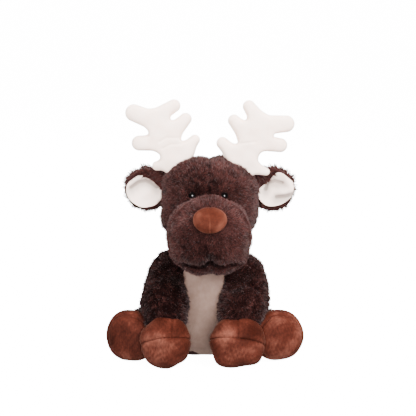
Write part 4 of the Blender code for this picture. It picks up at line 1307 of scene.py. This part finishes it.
def tube(path, radii, spokes=96):
    """A closed tube with a round far end, from rings along a path."""
    ahead = unit(np.gradient(path, axis=0))
    steps = np.arange(1, 13) / 12
    cap = path[-1] + radii[-1] * 0.55 * np.sin(steps * math.pi / 2)[:, None] * ahead[-1]
    path = np.concatenate([path, cap])
    radii = np.concatenate([radii, radii[-1] * np.maximum(np.cos(steps * math.pi / 2), 0.01)])
    ahead = np.concatenate([ahead, ahead[-1:].repeat(12, 0)])
    side = unit(np.cross(ahead, [1.0, 0.0, 0.0]))
    other = np.cross(ahead, side)
    angles = np.arange(spokes) * 2 * math.pi / spokes
    around = np.cos(angles)[None, :, None] * side[:, None] + np.sin(angles)[None, :, None] * other[:, None]
    grid = path[:, None] + radii[:, None, None] * around
    rings = len(path)
    points = np.concatenate([grid.reshape(-1, 3), [path[0], path[-1]]])
    now = np.arange(spokes)
    after = (now + 1) % spokes
    faces = []
    for ring in range(rings - 1):
        a, b = ring * spokes, (ring + 1) * spokes
        faces.append(np.stack([a + now, b + now, b + after], 1))
        faces.append(np.stack([a + now, b + after, a + after], 1))
    last = (rings - 1) * spokes
    faces.append(np.stack([now, after, np.full(spokes, rings * spokes)], 1))
    faces.append(np.stack([last + after, last + now, np.full(spokes, rings * spokes + 1)], 1))
    return points, outward(points, np.concatenate(faces))


def nap_along(path):
    """A comb that runs down a limb."""
    ahead = unit(np.gradient(path, axis=0))[::4]
    posts = path[::4]

    def comb(roots, ups):
        nearest = np.argmin(((roots[:, None] - posts[None]) ** 2).sum(2), 1)
        return ahead[nearest] + np.array([0.0, 0.0, -0.3])

    return comb


def arm_path(side):
    sign = SIDES[side]
    low, high = box("arm_hoof_" + side, "arm_sole_" + side)
    start = PIVOTS["shoulder_" + side] - np.array(SHOULDER_SET) * np.array([sign, 1.0, 1.0])
    paw = (low + high) / 2
    bend = (start + paw) / 2 + np.array([sign * ARM_BULGE_SHARES[side] * ARM_REACH, -ARM_ARCH / 2, ARM_ARCH])
    return bent_path(start, bend, paw + np.array(ARM_END_SET), 72)


def leg_path(side):
    start = PIVOTS["hip_" + side] - np.array(HIP_SET)
    end = np.array(FOOT_PLACE) * np.array([SIDES[side], 1.0, 1.0]) + np.array([0.0, 0.006, 0.0])
    return bent_path(start, (start + end) / 2, end, 56)


def forearm_fold(side):
    """The fold across the right forearm, which puffs out below it; the left one is nearly smooth."""

    def shape(points):
        across = points[:, 0] - SIDES[side] * FOLD_OUT
        line = points[:, 2] - FOLD_HEIGHT + FOLD_BEND * across ** 2
        front = smooth(-points[:, 1], 0.035, 0.055) * smooth(FOLD_HALF_LENGTH - np.abs(across), 0.0, 0.008)
        fold = FOLD_PUFF * hump(line + 0.009, 0.007) - FOLD_DEPTH * hump(line, FOLD_WIDTH)
        return FOLD_STRENGTHS[side] * front * fold

    return shape


def turned(points, middle, axis, angle):
    """Points turned about an upright (2) or a sideways (0) axis through a middle."""
    first, second = (axis + 1) % 3, (axis + 2) % 3
    out = points - middle
    one, other = out[:, first].copy(), out[:, second].copy()
    out[:, first] = math.cos(angle) * one - math.sin(angle) * other
    out[:, second] = math.sin(angle) * one + math.cos(angle) * other
    return out + middle


def room_for_muzzle(side, path, points):
    """Dents the sleeve where the raised arm would press into the turned muzzle."""
    pivot, neck = PIVOTS["shoulder_" + side], PIVOTS["neck_turn"]
    turn = SIDES[side] * math.radians(NECK_LIMIT_ANGLE)
    step = path[len(path) // 3] - path[0]
    weight = clamped((points - path[0]) @ step / (step @ step))
    raised = turned(points, pivot, 0, -math.radians(SHOULDER_LIMIT_ANGLE))
    raised = points + (raised - points) * weight[:, None]
    seen = turned(raised, neck, 2, -turn)
    centre, half, _ = muzzle_measures()
    reach = ((np.abs(seen - centre) / (half + ARM_ROOM)) ** FULLNESS).sum(1) ** (1 / FULLNESS)
    wanted = np.where(reach > 1.1, reach, 1 + np.maximum(reach - 0.9, 0.0) ** 2 / 0.4)
    moved = turned((seen - centre) * (wanted / reach)[:, None] + centre, neck, 2, turn)
    push = turned(moved - raised, np.zeros(3), 0, math.radians(SHOULDER_LIMIT_ANGLE))
    size = np.linalg.norm(push, axis=1)
    return points + push * (np.minimum(size, ARM_DENT_LIMIT) / np.maximum(size, 1e-9))[:, None]


def build_sleeve(kind, side, path, diameter, shares, seed, shape=None):
    radii = spread_evenly(shares, len(path)) * diameter / 2 - PILE_STAND
    points, faces = tube(path, radii)
    swell = 0.0012 * field(points, seed, 0.016)
    if shape is not None:
        swell = swell + shape(points)
    points = points + normals_of(points, faces) * swell[:, None]
    if kind == "arm":
        points = room_for_muzzle(side, path, points)
    points[:, 2] = np.maximum(points[:, 2], 0.0006)
    low, high = box(kind + "_hoof_" + side, kind + "_sole_" + side)
    middle, half = (low + high) / 2, (high - low) / 2

    def keep(roots, ups):
        gap = np.linalg.norm((roots - middle) / half, axis=1)
        size = smooth(gap, 0.92, 1.02) * (0.45 + 0.55 * smooth(gap, 1.0, 1.3))
        return size * smooth(roots[:, 2], 0.0005, 0.006)

    def tone(places):
        # painted shade in the forearm's fold
        line = 0.0 if shape is None else -0.3 * clamped(-400.0 * shape(places))
        # painted shade over the whole sleeve
        return line - np.full(len(places), SLEEVE_PAINTED_SHADE[side])

    sleeve = tufted(kind + "_pile_" + side, points, faces, PILE, BODY_PILE, nap_along(path), keep, seed, tone)
    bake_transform(sleeve)
    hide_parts(kind + "_sleeve_" + side, kind + "_filling_" + side)


def build_arm(side):
    seed = 81 + int(SIDES[side])
    build_sleeve("arm", side, arm_path(side), ARM_DIAMETER, ARM_SWELL_SHARES[side], seed, forearm_fold(side))
    build_hoof("arm", side, seed + 20)


def build_leg(side):
    seed = 91 + int(SIDES[side])
    build_sleeve("leg", side, leg_path(side), LEG_DIAMETER, LEG_SWELL_SHARES, seed)
    build_hoof("leg", side, seed + 20)


def sliced(points, faces, place, normal):
    """Keeps what lies on the normal's side of a plane, and closes the cut."""
    bm = bmesh.new()
    verts = [bm.verts.new(point) for point in points]
    for face in faces:
        bm.faces.new([verts[k] for k in face])
    whole = list(bm.verts) + list(bm.edges) + list(bm.faces)
    bmesh.ops.bisect_plane(bm, geom=whole, plane_co=place, plane_no=normal, clear_inner=True)
    rim = [edge for edge in bm.edges if edge.is_boundary]
    bmesh.ops.holes_fill(bm, edges=rim, sides=0)
    bmesh.ops.triangulate(bm, faces=[face for face in bm.faces if len(face.verts) > 3])
    bm.verts.index_update()
    new_points = np.array([vertex.co[:] for vertex in bm.verts])
    new_faces = np.array([[vertex.index for vertex in face.verts] for face in bm.faces])
    bm.free()
    return new_points, new_faces


def paw_facts(side):
    """Middle, half sizes, turn, the seam's place and its normal for the front hoof."""
    low, high = box("arm_hoof_" + side, "arm_sole_" + side)
    half = np.array([(high[0] - low[0]) / 2, *PAW_HALF])
    ahead = PIVOTS["shoulder_" + side][1] - PAW_AHEAD
    centre = np.array([(low[0] + high[0]) / 2, ahead, PAW_HALF[1] - 0.0005])
    tilt = math.radians(PAW_SOLE_ANGLE)
    normal = unit(np.array([0.10 * SIDES[side], math.sin(tilt), math.cos(tilt)]))
    return centre, half, 0.0, centre - np.array([0.0, 0.0, PAW_SEAM_DROP]), normal


def foot_facts(side):
    """The same for the hind hoof, which looks forward and a little outwards."""
    centre = np.array(FOOT_PLACE) * np.array([SIDES[side], 1.0, 1.0])
    angle = math.radians(SIDES[side] * FOOT_TOE_ANGLE)
    ahead = np.array([math.sin(angle), -math.cos(angle), 0.0])
    return centre, np.array(FOOT_HALF), angle, centre + ahead * FOOT_SEAM_FORWARD, -ahead


def hoof_tone(points, shares, off, middle_seam, spots, seed):
    """Random light and dark patches and streaks of the nap, the listed spots of nap and painted light and
    shade, painted highlights on the puffed cloth beside the seams and painted shade in the seams.
    """
    tone = 0.42 + 0.07 * field(points, seed + 2, 0.014) + 0.04 * field(points, seed + 3, 0.005)
    tone = tone + 0.06 * field(points * np.array([1.0, 1.0, 0.3]), seed + 4, 0.0011) + 0.06 * (off < 0)
    for across, up, radius, amount in spots:
        tone = tone + amount * hump(np.hypot(shares[:, 0] - across, shares[:, 2] - up), radius)
    # painted highlight beside the seam and painted shade in it; the same at the middle seam
    tone = tone + 0.12 * hump(off - 0.003, 0.003) + 0.10 * hump(off + 0.004, 0.004) - 0.10 * hump(off, 0.0009)
    middle = 0.10 * hump(np.abs(middle_seam) - 0.003, 0.002) - 0.10 * hump(middle_seam, 0.0008)
    return clamped(tone + middle * (off > 0))


def build_hoof(kind, side, seed):
    """The upper and the sole of one hoof, with a pinched seam between them."""
    centre, half, angle, seam_place, normal = paw_facts(side) if kind == "arm" else foot_facts(side)
    seam_x = centre[0] + MIDDLE_SEAM_SETS[side] if kind == "arm" else NO_SEAM
    directions, faces = sphere(6)
    squareness = PAW_SQUARENESS[side] if kind == "arm" else FOOT_SQUARENESS
    stretch = squared(directions, squareness)
    stretch = 1 + (stretch - 1) * (0.10 + 0.75 * smooth(-directions[:, 2], -0.1, 0.7))
    points = directions * half * stretch[:, None]
    points = turned(points, np.zeros(3), 2, angle) + centre
    off = (points - seam_place) @ normal
    swell = HOOF_LUMP * field(points, seed + 1, HOOF_LUMP_SIZE) + HOOF_ROLL * hump(np.abs(off) - 0.005, 0.004)
    swell = swell - SEAM_DEPTH * hump(off, SEAM_WIDTH)
    pinch = MIDDLE_SEAM_DEPTH * hump(points[:, 0] - seam_x, MIDDLE_SEAM_WIDTH)
    swell = swell - pinch * smooth(off, 0.0, 0.003)
    points = points + normals_of(points, faces) * swell[:, None]
    points[:, 2] = np.maximum(points[:, 2], 0.0)
    for word, way in (("upper", 1.0), ("underside", -1.0)):
        part, part_faces = sliced(points, faces, seam_place + way * normal * 0.00015, way * normal)
        shares, off, middle_seam = (part - centre) / half, (part - seam_place) @ normal, part[:, 0] - seam_x
        tone = hoof_tone(part, shares, off, middle_seam, HOOF_NAP_LIGHT_AND_SHADE_SPOTS[kind, side], seed)
        name = kind + "_" + word + "_" + side
        piece = new_piece(name, new_mesh(name, part, outward(part, part_faces), tone=tone), HOOF)
        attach(piece, kind + "_" + side)
        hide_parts(kind + ("_hoof_" if word == "upper" else "_sole_") + side)


def dress_hidden_nodes():
    """The CAD nodes that stay, inside the skins, get their finishes."""
    finishes = {"filling": FIBRE, "washer": WASHER, "pouch": POUCH, "thread": THREAD}
    for name, node in frame["nodes"].items():
        for word, material in finishes.items():
            if word in name:
                node.data.materials.clear()
                node.data.materials.append(material)


# Floor, light and camera

def build_floor():
    """A plain white floor that curves up into a round wall, bright enough to read as white."""
    rings = [(0.0, 0.0), (FLOOR_REACH, 0.0)]
    for step in range(1, 13):
        angle = math.pi / 2 * step / 12
        rings.append((FLOOR_REACH + FLOOR_CURVE * math.sin(angle), FLOOR_CURVE * (1 - math.cos(angle))))
    rings.append((FLOOR_REACH + FLOOR_CURVE, FLOOR_WALL))
    spokes = 64
    angles = np.arange(spokes) * 2 * math.pi / spokes
    points = [(0.0, 0.0, -0.0002)]
    for radius, height in rings[1:]:
        points += [(radius * math.cos(angle), radius * math.sin(angle), height - 0.0002) for angle in angles]
    mesh = bpy.data.meshes.new("floor")
    mesh.from_pydata(points, [], disc_faces(len(rings) - 1, spokes).tolist())
    mesh.shade_smooth()
    material, nodes, _ = new_material("white_floor")
    shader = nodes["Principled BSDF"]
    shader.inputs["Base Color"].default_value = (0.9, 0.9, 0.9, 1.0)
    shader.inputs["Roughness"].default_value = 0.9
    shader.inputs["Emission Color"].default_value = (1.0, 1.0, 1.0, 1.0)
    shader.inputs["Emission Strength"].default_value = FLOOR_GLOW
    floor = bpy.data.objects.new("floor", mesh)
    bpy.context.scene.collection.objects.link(floor)
    mesh.materials.append(material)
    floor.visible_diffuse = False
    floor.visible_glossy = False
    floor.visible_shadow = False


def add_light(name, place, size, power, glossy):
    data = bpy.data.lights.new(name, "AREA")
    data.shape = "RECTANGLE"
    data.size, data.size_y = size, size
    data.energy = power
    light = bpy.data.objects.new(name, data)
    light.location = place
    light.rotation_euler = (Vector(LIGHT_AIM) - Vector(place)).to_track_quat("-Z", "Y").to_euler()
    light.visible_glossy = glossy
    bpy.context.scene.collection.objects.link(light)


def build_lights():
    world = bpy.data.worlds.new("studio")
    world.use_nodes = True
    background = world.node_tree.nodes["Background"]
    background.inputs["Color"].default_value = (1.0, 1.0, 1.0, 1.0)
    background.inputs["Strength"].default_value = WORLD_STRENGTH
    world.cycles_visibility.glossy = False
    bpy.context.scene.world = world
    for light in LIGHTS:
        add_light(*light)


def build_camera():
    data = bpy.data.cameras.new("camera")
    data.sensor_width = SENSOR_WIDTH
    data.lens = SENSOR_WIDTH * FOCAL_PIXELS / FRAME_PIXELS
    camera = bpy.data.objects.new("camera", data)
    rise = math.radians(CAMERA_RISE_ANGLE)
    offset = Vector((0.0, -math.cos(rise), math.sin(rise))) * CAMERA_DISTANCE
    camera.location = Vector(CAMERA_TARGET) + offset
    camera.rotation_euler = (-offset).to_track_quat("-Z", "Y").to_euler()
    bpy.context.scene.collection.objects.link(camera)
    bpy.context.scene.camera = camera


build_camera()
build_floor()
build_lights()
build_torso()
build_head()
build_muzzle()
for side_name in SIDES:
    build_eye(side_name)
    build_ear(side_name)
    build_antler(side_name)
    build_arm(side_name)
    build_leg(side_name)
dress_hidden_nodes()
